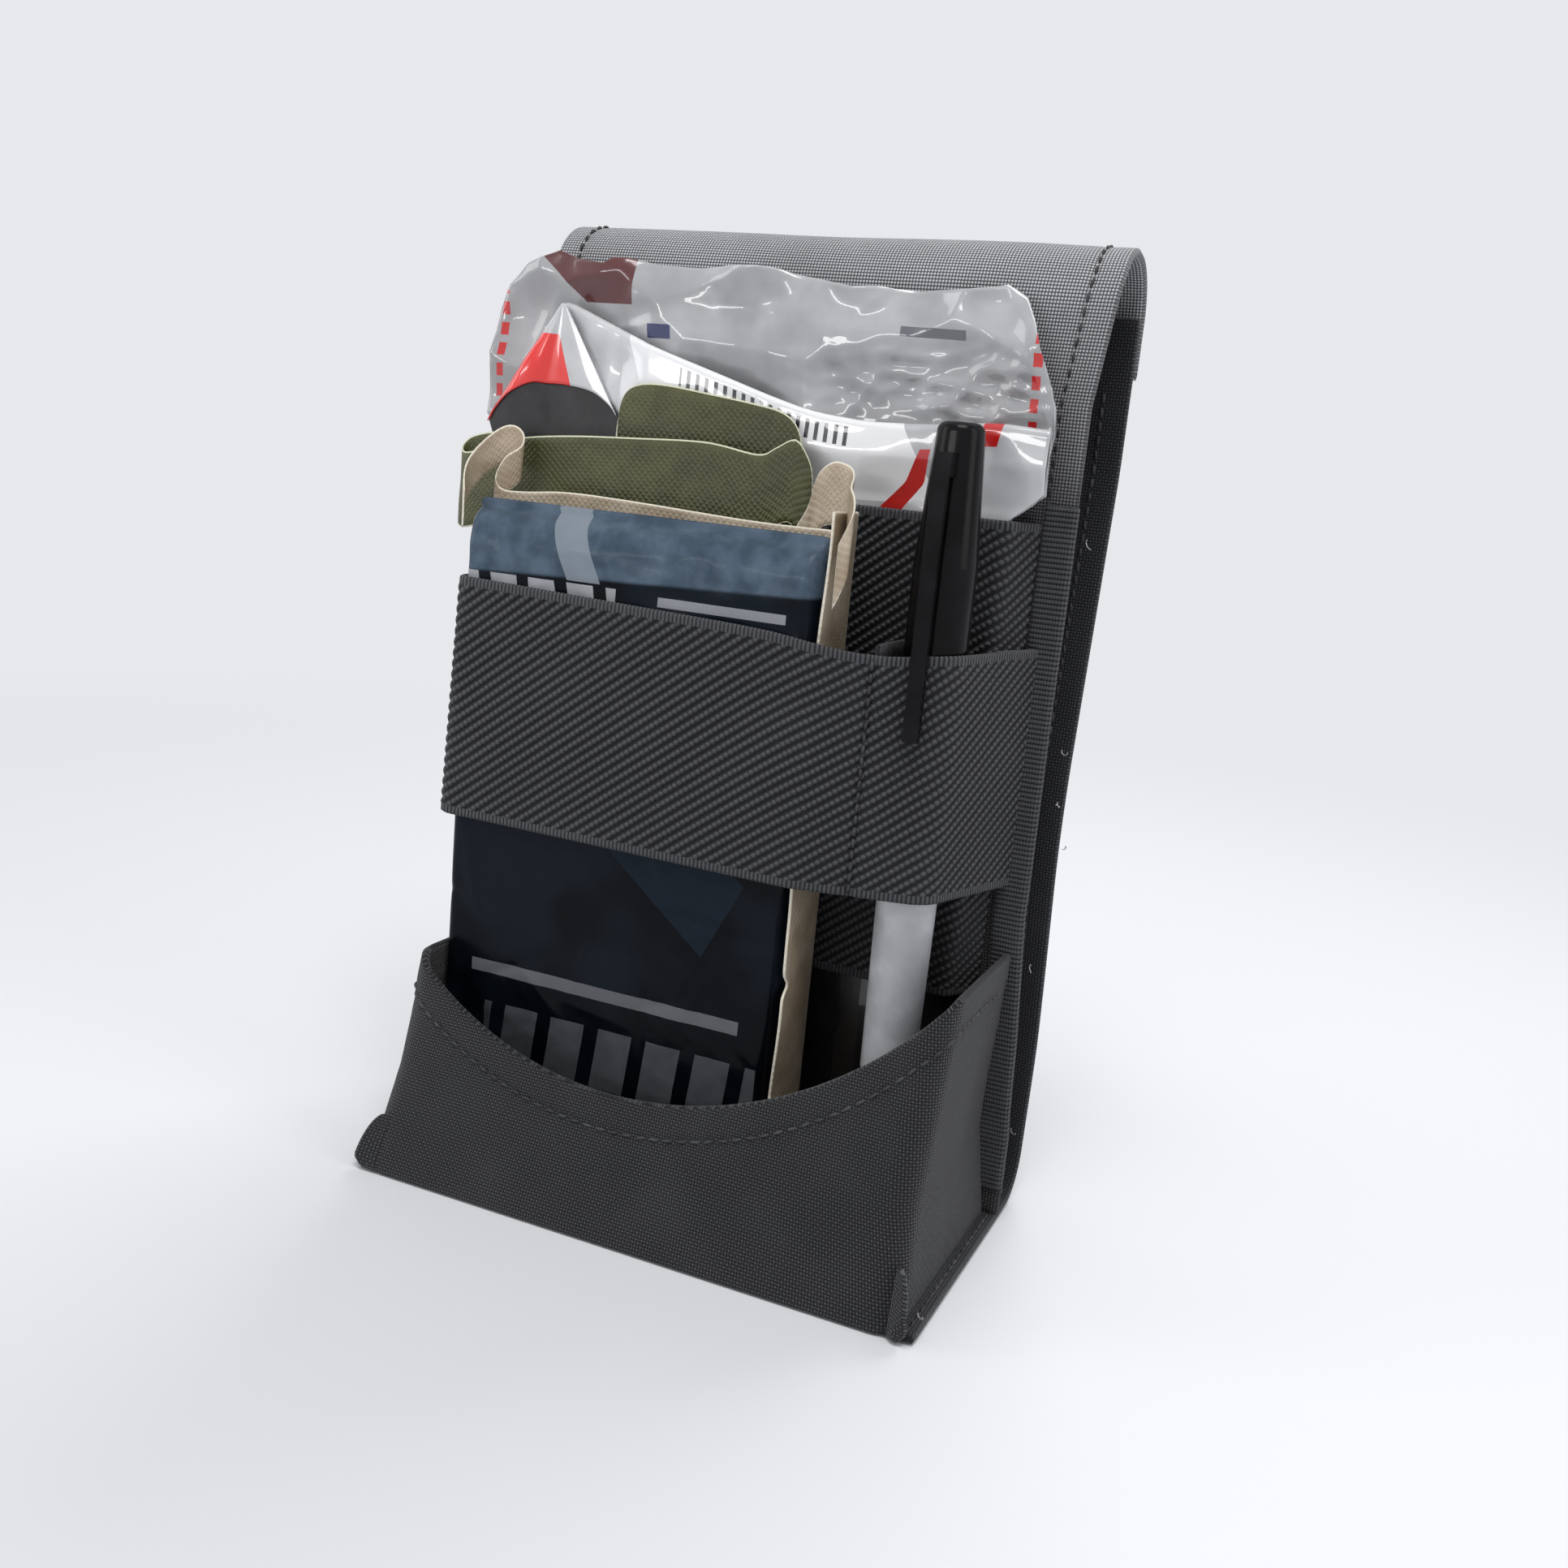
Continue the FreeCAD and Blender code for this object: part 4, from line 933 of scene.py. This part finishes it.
def pillow(name, box, material, thick, seal, bulge, wrinkle, seed, step, rounding=0.35):
    """A closed film pillow in a box of x, depth and z limits. Wrinkle is how many, long, high and wide."""
    (x_low, x_high), (d_low, d_high), (z_low, z_high) = box
    xs = np.linspace(x_low, x_high, int((x_high - x_low) / step) + 1)
    zs = np.linspace(z_low, z_high, int((z_high - z_low) / step) + 1)
    x, z = np.meshgrid(xs, zs, indexing="ij")
    half_depth = (d_high - d_low) / 2
    side = np.clip(np.minimum(x - x_low, x_high - x) / (half_depth * rounding + 0.8), 0, 1)
    end = np.clip((np.minimum(z - z_low, z_high - z) - seal) / (half_depth * 0.9 + 1), 0, 1)
    full = np.sqrt(1 - (1 - side) ** 2) * (thick + (1 - thick) * np.sqrt(1 - (1 - end) ** 2))
    width = np.maximum(2 * half_depth * full, 0.5)
    inside = np.minimum(side, end)
    rough = creases(x, z, wrinkle[0], seed, (x_low, x_high, z_low, z_high), *wrinkle[1:])
    ends = np.clip(1 - np.minimum(z - z_low, z_high - z) / 24, 0, 1)
    rough += (crumple(x, z, 11, seed + 3, 1.3) - 0.75) * 1.5 * ends
    soft = value_noise(x, z, 17, seed + 1) * bulge
    crimp = np.sin(z / 1.1 * 2 * math.pi) * 0.06 * (end <= 0)
    change = (rough + soft) * (0.25 + 0.75 * inside) - bulge * 0.6 + crimp
    grid = place(x, (d_low + d_high) / 2, z)
    normal = np.broadcast_to(np.array([0, -1.0, 0]), grid.shape)
    return cloth(name, grid, width, (x, z), material, rise=np.minimum(change, 0.25), normals=normal,
                 sink=np.minimum(-soft * 0.5, 0))


def folded(name, node, layers, pitch, sheet, material, body, slot):
    """A sheet folded to and fro inside its pack."""
    low, high = node_box(node)
    ends = (low[0] + pitch, high[0] - pitch)
    levels = [high[1] - sheet / 2 - i * pitch for i in range(layers)]
    path = []
    for i, level in enumerate(levels):
        start, finish = ends if i % 2 == 0 else ends[::-1]
        path += [(x, level) for x in np.linspace(start, finish, 14)]
        if i < layers - 1:
            way = 1 if i % 2 == 0 else -1
            path += [(finish + way * pitch / 2 * math.sin(t), level - pitch / 2 + pitch / 2 * math.cos(t))
                     for t in np.linspace(0.4, math.pi - 0.4, 6)]
    path = np.array(path)
    zs = np.linspace(low[2], high[2], 12)
    run, z = np.meshgrid(path_length(path), zs, indexing="ij")
    grid = np.stack([path[:, None, 0] + 0 * z, path[:, None, 1] + 0 * z, z], -1)
    piece = cloth(name, grid, sheet * 0.9, (run, z), material)
    settle(piece, body, slot, node)


def make_tourniquet_pack():
    box = ((-62.6, 20.7), (20.35, 34.3), (2.0, 147.4))
    wrinkle = (150, 16, 0.42, 0.9)
    piece = pillow("tourniquet_film", box, PRINT, 0.12, 1.5, 0.35, wrinkle, 71, 0.9 * COARSE, 0.25)
    settle(piece, "tourniquet_pack", "printed_film", "tourniquet_wrapper")
    folded("tourniquet_wrap", "tourniquet_band", 13, 0.98, 0.8, RUBBER, "tourniquet_pack", "wrap_rubber")


def make_gauze_pack():
    box = ((-61.2, 20.8), (15.1, 20.0), (2.0, 147.5))
    piece = pillow("gauze_film", box, TAN, 0.3, 4, 0.2, (60, 14, 0.3, 1.0), 81, 1.5 * COARSE)
    settle(piece, "gauze_pack", "tan_film", "gauze_wrapper")
    folded("gauze_fold", "gauze_pad", 4, 0.95, 0.7, GAUZE, "gauze_pack", "gauze")
    reach, up = np.meshgrid(np.linspace(0, 1, 24), np.linspace(0, 1, 150), indexing="ij")
    height = 9 + up * 144
    wave = value_noise(up * 140, reach * 4, 19, 82) * 0.45
    near, far = 17.0, 32.6 - 1.2 * ramp(height, 60, 100)
    depth = near + (far - near) * reach
    x = 21.5 + wave * reach + 0.4 * ramp(height, 110, 40) * reach
    notch = np.exp(-((height - 55) / 1.6) ** 2) * 2.2 * ramp(reach, 0.6, 0.4)
    piece = cloth("gauze_side_film", place(x, depth - notch, height), 0.55, (reach * 16, height), TAN)
    settle(piece, "gauze_pack", "tan_film", "gauze_side_seal")
    edge = smooth_curve([(20.5, 20.9, 149.0), (0, 20.9, 149.0), (-28.6, 20.9, 150.2), (-44.9, 20.9, 150.5),
                         (-56, 21.2, 149.6), (-61.2, 22, 149.8), (-62.6, 22.6, 152.4), (-61.5, 21, 156.6),
                         (-59, 18.6, 159.4), (-59.6, 17, 162), (-62, 16.4, 163.6), (-64.4, 17.4, 163.4),
                         (-66.2, 20, 161.3), (-67.0, 24, 158.2), (-66.8, 27.5, 155.2), (-65.4, 30.5, 152.2),
                         (-63.9, 32.4, 149.2)], 1.0 * COARSE)
    drop_film("gauze_top_film", edge, 8, TAN, "gauze_pack", "tan_film", 83)
    edge = smooth_curve([(9.5, 19.6, 149.2), (11.5, 19.6, 153.2), (12.4, 19.6, 157.6), (13.6, 19.6, 160.6),
                         (16.5, 19.7, 162.6), (20.2, 20.4, 162.0), (22.4, 23.5, 160.3), (23.8, 28, 158.2),
                         (26.0, 31.6, 156.4), (26.8, 33.0, 154.0), (26.0, 33.6, 150.6), (24.4, 33.2, 147.0)],
                        0.8 * COARSE)
    drop_film("gauze_corner_film", edge, 12.5, TAN, "gauze_pack", "tan_film", 84)


def drop_film(name, edge, drop, material, body, slot, seed):
    """A strip of film hanging down from a free top edge of x, depth and z."""
    s, t = np.meshgrid(path_length(edge), np.linspace(0, 1, 12), indexing="ij")
    flow = unit(np.gradient(edge[:, :2], axis=0))
    shift = value_noise(s, t * drop, 6, seed) * 0.25 * t
    grid = place(edge[:, None, 0] - flow[:, None, 1] * shift, edge[:, None, 1] + flow[:, None, 0] * shift,
                 edge[:, None, 2] - t * drop)
    settle(cloth(name, grid, FILM, (s, t * drop), material), body, slot)


def make_dressing_pack():
    box = ((-60.6, 9.6), (9.4, 14.5), (2.0, 150))
    piece = pillow("dressing_film", box, OLIVE, 0.3, 4, 0.2, (50, 14, 0.3, 1.0), 91, 1.6 * COARSE)
    settle(piece, "dressing_pack", "olive_film", "dressing_wrapper")
    grid, thick = box_grid("dressing_pad", 40, 60)
    pad = cloth("dressing_wad", grid, thick - 0.4, (grid[..., 0], grid[..., 2]), GAUZE)
    settle(pad, "dressing_pack", "gauze", "dressing_pad")
    edge = smooth_curve([(9.7, 13.6, 155.0), (8.9, 13.6, 161), (6.0, 13.6, 165.6), (3.9, 13.7, 166.2),
                         (0.4, 13.8, 164.2), (-3.5, 14, 162.6), (-15.8, 14, 164.1), (-33.6, 14, 163.5),
                         (-50, 13.8, 162.6), (-62.6, 13.6, 161.1), (-70.8, 13.8, 158.4), (-76.6, 13.6, 156.8),
                         (-78.9, 12.4, 157.4), (-79.3, 11, 159.0), (-77.6, 9.9, 160.6), (-73, 9.4, 161.8),
                         (-65.9, 9.2, 162.4), (-56, 9.4, 160.5)], 1.0 * COARSE)
    drop_film("dressing_front_film", edge, 17, OLIVE, "dressing_pack", "olive_film", 92)
    edge = smooth_curve([(-39.5, 10.8, 158), (-39.6, 10.8, 167), (-38.4, 10.8, 172.6), (-35, 10.8, 175.0),
                         (-28.5, 10.7, 175.4), (-18.5, 10.6, 174.4), (-6.8, 10.6, 173.0), (0.0, 10.7, 171.7),
                         (3.6, 10.8, 169.0), (5.3, 10.9, 164.0), (5.4, 11, 158)], 1.0 * COARSE)
    x, t = np.meshgrid(edge[:, 0], np.linspace(0, 1, 14), indexing="ij")
    top = edge[:, None, 2]
    z = top + (148 - top) * t
    depth = edge[:, None, 1] - 1.2 * t + value_noise(x, z, 15, 93) * 0.5
    piece = cloth("dressing_rear_film", place(x, depth, z), FILM, (x, z), OLIVE)
    settle(piece, "dressing_pack", "olive_film")


RED = (0.55, 0.008, 0.007)
DARK_RED = (0.085, 0.003, 0.004)
INK = (0.012, 0.013, 0.02)
WHITE = (0.46, 0.46, 0.475), (0.66, 0.665, 0.68)
# A darker copy of the white film: painted shade for the rear sheet, which stands in shade.
WHITE_IN_PAINTED_SHADE = (0.32, 0.32, 0.33), (0.50, 0.505, 0.52)


def gathered(x, z):
    """Draws the torn film in where it goes down behind the rear band."""
    right = np.interp(z, (150, 154.5, 160), (0.88, 0.885, 1))
    left = np.interp(z, (150, 155.5, 166), (0.77, 0.78, 1))
    return x * np.where(x > 0, right, 1 - (1 - left) * np.clip(-x / 58, 0, 1))


# Foil pouch

def make_foil_pack():
    # The dark mark below 70 mm is painted shade: the lower part of the foil body sits in the pocket's shadow.
    plain = foil_film("white_foil", WHITE, [((0.012, 0.012, 0.014), 0, (0, -1, -70))])
    box = ((-60.2, 49.8), (0.4, 7.2), (2.0, 163))
    body = pillow("foil_body", box, plain, 0.15, 4, 0.25, (40, 18, 0.4, 1.4), 101, 1.6 * COARSE)
    settle(body, "foil_pack", "white_foil", "foil_pouch")
    make_foil_back()
    make_foil_front()
    make_foil_corner()
    low, high = node_box("seal_discs")
    centre, radius = (low + high) / 2, (high[0] - low[0]) / 2
    turn, out = np.meshgrid(np.linspace(0, 2 * math.pi, 49), np.linspace(0.02, 1, 8), indexing="ij")
    for k, y in enumerate((low[1] + 0.7, high[1] - 0.7)):
        x, z = centre[0] + radius * out * np.cos(turn), centre[2] + radius * out * np.sin(turn)
        grid = np.stack([x, y + 0 * turn, z], -1)
        normal = np.broadcast_to(np.array([0, 1.0, 0]), grid.shape)
        disc = cloth(f"seal_disc_{k}", grid, 1.3, (x, z), GEL, normals=normal)
        settle(disc, "foil_pack", "clear_film", *(["seal_discs"] if k == 0 else []))


def make_foil_back():
    """The torn rear sheet that stands up behind the other packs."""
    back_marks = [(RED, 4.6, *inside_box(-75.6, -73.9, 160, 194)),
                  (RED, 4.4, *inside_box(51.2, 53.0, 158, 196)),
                  (DARK_RED, 0, (1, 1.22, 181.1), (-1, 0, 41.5), (0, 1, 192.4)),
                  ((0.02, 0.03, 0.12), 0, *inside_box(-37, -31, 185.5, 188.5)),
                  ((0.12, 0.12, 0.14), 0, *inside_box(22, 36, 189.2, 191.2))]
    # The rear sheet takes the darker white, which is painted shade.
    back = foil_film("foil_back", WHITE_IN_PAINTED_SHADE, back_marks)
    top = np.array([(-77.6, 176), (-77.4, 184), (-76.4, 190), (-74, 195.5), (-69.5, 200.5), (-61, 203.4),
                    (-56, 201.2), (-49, 200.2), (-47, 201.5), (-39.8, 201.8), (-24, 201.6), (-12, 201.3),
                    (1, 200.2), (10.5, 198.6), (19.6, 198.1), (28, 199.4), (35, 199.3), (43.5, 200.1),
                    (47.8, 198.0), (50.4, 193.5), (52.5, 188), (55.0, 182), (56.6, 177), (57.2, 170)])
    xs = np.linspace(-77.4, 57.0, int(230 / COARSE))
    crest = np.interp(xs, top[:, 0], top[:, 1])
    low = 150 + ramp(xs, -62, -14) * 14
    x, t = np.meshgrid(xs, np.linspace(0, 1, int(70 / COARSE)), indexing="ij")
    z = low[:, None] + (crest - low)[:, None] * t
    ripple = value_noise(x, z, 21, 102) * 1.3 + value_noise(x, z, 9, 103) * 0.5
    fold = crumple(x, z, 23, 104, 1.5) * 5.4 + crumple(x, z, 10, 112, 1.5) * 0.7 - 3.0
    squeeze = np.exp(-((x - 34) / 26) ** 2 - ((z - 179) / 8) ** 2)
    fold += squeeze * (crumple(x, z, 8, 115, 2.2) * 3.2 - 1.4)
    curl = ramp(np.abs(x + 10), 55, 12) ** 2 * 2.5
    lip = np.clip((z - crest[:, None] + 7) / 7, 0, 1) ** 2
    crest = crest + value_noise(xs, 0 * xs, 9, 116) * 0.7
    z = low[:, None] + (crest - low)[:, None] * t
    depth = 4.4 + (ripple + fold) * 0.9 + curl + lip * value_noise(x, 0 * x, 13, 105) * 2.6
    tucked = ramp(z, 167, -9)
    depth = 4.6 + 3.4 * np.tanh((depth - 4.6) / 3.4)
    depth = depth * (1 - tucked) + 4.4 * tucked
    piece = cloth("foil_back_sheet", place(gathered(x, z), depth, z), 0.3, (x, z), back)
    settle(piece, "foil_pack", "white_foil")


def make_foil_front():
    """The front sheet, torn down to a slanting edge that rolls forward."""
    front_marks = [((0.88, 0.88, 0.89), 0, (1, -0.5, -40), (-1, 0.6, -26), (0, -1, -16)),
                   (INK, -2.2, *inside_box(-26, 15, 1.6, 5.6)),
                   (RED, 0, (1, 0.4, 43.5), (-1, -0.2, -47.5), (0, -1, -4.5)),
                   (RED, 0, (1, 0.42, 32.6), (-1, -0.15, -33.5), (0, 1, 5), (0, -1, -20))]
    front = foil_film("foil_front", WHITE, front_marks)
    ridge = np.array([(-57.4, 192.2), (-50.3, 189.5), (-42.3, 186.4), (-32.3, 182.9), (-17.6, 178.7),
                      (-5.8, 175.2), (5.2, 172.4), (17.7, 171.3), (29.7, 171.7), (46.6, 173.3), (57.0, 172.6)])
    xs = np.linspace(-57.0, 57.0, int(190 / COARSE))
    crest = np.interp(xs, ridge[:, 0], ridge[:, 1])
    crest = np.convolve(np.pad(crest, 6, mode="edge"), np.ones(13) / 13, "valid")
    roll = np.linspace(-math.pi * 0.9, 0, 10)
    fall = np.linspace(0, 1, int(26 / COARSE))[1:]
    x = np.repeat(xs[:, None], len(roll) + len(fall), 1)
    radius = (1.6 + value_noise(xs, 0 * xs, 16, 106) * 0.4)[:, None]
    base = (8.7 + value_noise(xs, 0 * xs + 3, 24, 107) * 0.5)[:, None]
    crest = crest[:, None]
    z = np.concatenate([crest + radius * np.sin(-roll) - radius,
                        (crest - radius) + (150 - crest + radius) * fall], 1)
    depth = np.concatenate([base + radius * np.cos(roll) - radius, base + 0.9 * np.sin(fall * 2.6)], 1)
    wrinkles = crumple(x, z, 19, 108, 1.2) * 2.8 - 1.4 + value_noise(x, z, 13, 109) * 0.4
    depth = depth + wrinkles * ramp(z, crest, -5)
    depth = 7.9 + 1.1 * np.tanh((depth - 7.9) / 1.1)
    depth = depth - 1.2 * ramp(x, -34, -8)
    tucked = ramp(z, 165, -8)
    depth = depth * (1 - tucked) + 6.7 * tucked
    piece = cloth("foil_front_fold", place(gathered(x, z), depth, z), 0.4, (x, crest - z), front)
    settle(piece, "foil_pack", "white_foil")


def make_foil_corner():
    """The corner folded over to a cone, and the inner side of the film that shows under it, coloured near black
    as painted shade inside the fold.
    """
    cone_marks = [((0.80, 0.016, 0.012), 0, (-1, -0.35, -7.5), (0, -1, -184.6))]
    cone_paint = foil_film("foil_cone", WHITE, cone_marks)
    apex = np.array([-56.6, 8.4, 192.0])
    foot = smooth_curve([(-75.2, 8.4, 164.4), (-72.2, 10.0, 167.6), (-67.6, 11.9, 171.0), (-62.6, 11.2, 173.6),
                         (-59.4, 9.2, 173.8), (-54.4, 8.9, 173.8), (-47.8, 8.9, 172.8), (-43.2, 8.8, 170.2),
                         (-41.0, 8.8, 167.8)], 0.9 * COARSE)
    t = np.linspace(0.04, 1, int(30 / COARSE))
    grid = apex[None, None, :] * (1 - t[None, :, None]) + foot[:, None, :] * t[None, :, None]
    swell = np.sin(np.linspace(0, math.pi, len(foot)))[:, None] * np.sin(t * math.pi)[None, :]
    grid[..., 1] += swell * 1.2 * ramp(grid[..., 0], -61.5, -3)
    settle_corner("foil_cone_fold", grid, cone_paint)
    share = np.linspace(0, 1, 14)
    lower = np.array([(x, 8.5, 153.0) for x in np.linspace(-70, -38, len(foot))])
    upper = foot + np.array([0, -0.45, 0.8])
    grid = upper[:, None, :] * (1 - share[None, :, None]) + lower[:, None, :] * share[None, :, None]
    grid[..., 1] += value_noise(grid[..., 0], grid[..., 2], 9, 111) * 0.15
    # The inner ply is coloured near black as painted shade under the cone.
    settle_corner("foil_inner_ply_painted_shade", grid, INNER_FOIL_PAINTED_SHADE)


def settle_corner(name, grid, material):
    """A ply of the folded corner from a grid of x, depth and z."""
    x, depth, z = np.moveaxis(grid, -1, 0)
    settle(cloth(name, place(x, depth, z), 0.4, (x, z), material), "foil_pack", "white_foil")


# Loose threads and marker

def make_loose_fibres():
    """Short frayed threads that stand out from cut edges."""
    random = np.random.RandomState(7)
    spots = ((66.2, 16.5, 96), (66.3, 17, 108), (66.1, 30, 84), (65.8, 16, 152), (-66.2, 16.5, 120),
             (65.6, -40, 6), (66.0, 16, 60), (65.6, 20, 20))
    for k, (x, y, z) in enumerate(spots):
        side = 1 if x > 0 else -1
        turn = random.uniform(0, 6) + np.arange(9) * random.uniform(0.35, 0.8)
        heading = np.stack([side * 0.16 + 0.25 * np.cos(turn), -0.12 + 0.2 * np.sin(turn * 0.7),
                            0.35 * np.sin(turn)], 1)
        path = np.array([x - side * 0.6, y, z]) + np.cumsum(heading, axis=0)
        path[:, 0] = np.clip(path[:, 0], -68.5, 68.5)
        path = smooth_curve(path, 0.3)
        turn = np.linspace(0, 2 * math.pi, 7)[:-1]
        flow = unit(np.gradient(path, axis=0))
        side_way = unit(np.cross(flow, (0.1, 0.2, 0.97)))
        up_way = np.cross(side_way, flow)
        points = (path[:, None, :] + 0.09 * (np.cos(turn)[None, :, None] * side_way[:, None, :]
                                             + np.sin(turn)[None, :, None] * up_way[:, None, :])).reshape(-1, 3)
        faces = [[i * 6 + j, i * 6 + (j + 1) % 6, (i + 1) * 6 + (j + 1) % 6, (i + 1) * 6 + j]
                 for i in range(len(path) - 1) for j in range(6)]
        faces += [[5, 4, 3, 2, 1, 0], [len(points) - 6 + j for j in range(6)]]
        fibre = build(f"loose_fibre_{k}", points, faces, points[:, :2], np.ones(len(points)), PALE_THREAD)
        settle(fibre, "pouch", "nylon")


def paint_marker():
    """The marker is rigid and shown as it is in the CAD, with its own plastics."""
    for node, material in (("marker_barrel", BARREL), ("marker_end_plug", BLACK), ("marker_section", BLACK),
                           ("marker_cap", CAP), ("cap_liner", BLACK), ("marker_reservoir", FELT),
                           ("marker_nib", FELT)):
        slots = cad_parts[node].data.materials
        slots.clear()
        slots.append(material)


place_camera()
make_stage()
make_carrier()
make_flap_hem()
make_base_and_strap()
make_lining_and_bindings()
make_pocket()
make_bands()
make_tourniquet_pack()
make_gauze_pack()
make_dressing_pack()
make_foil_pack()
make_loose_fibres()
paint_marker()
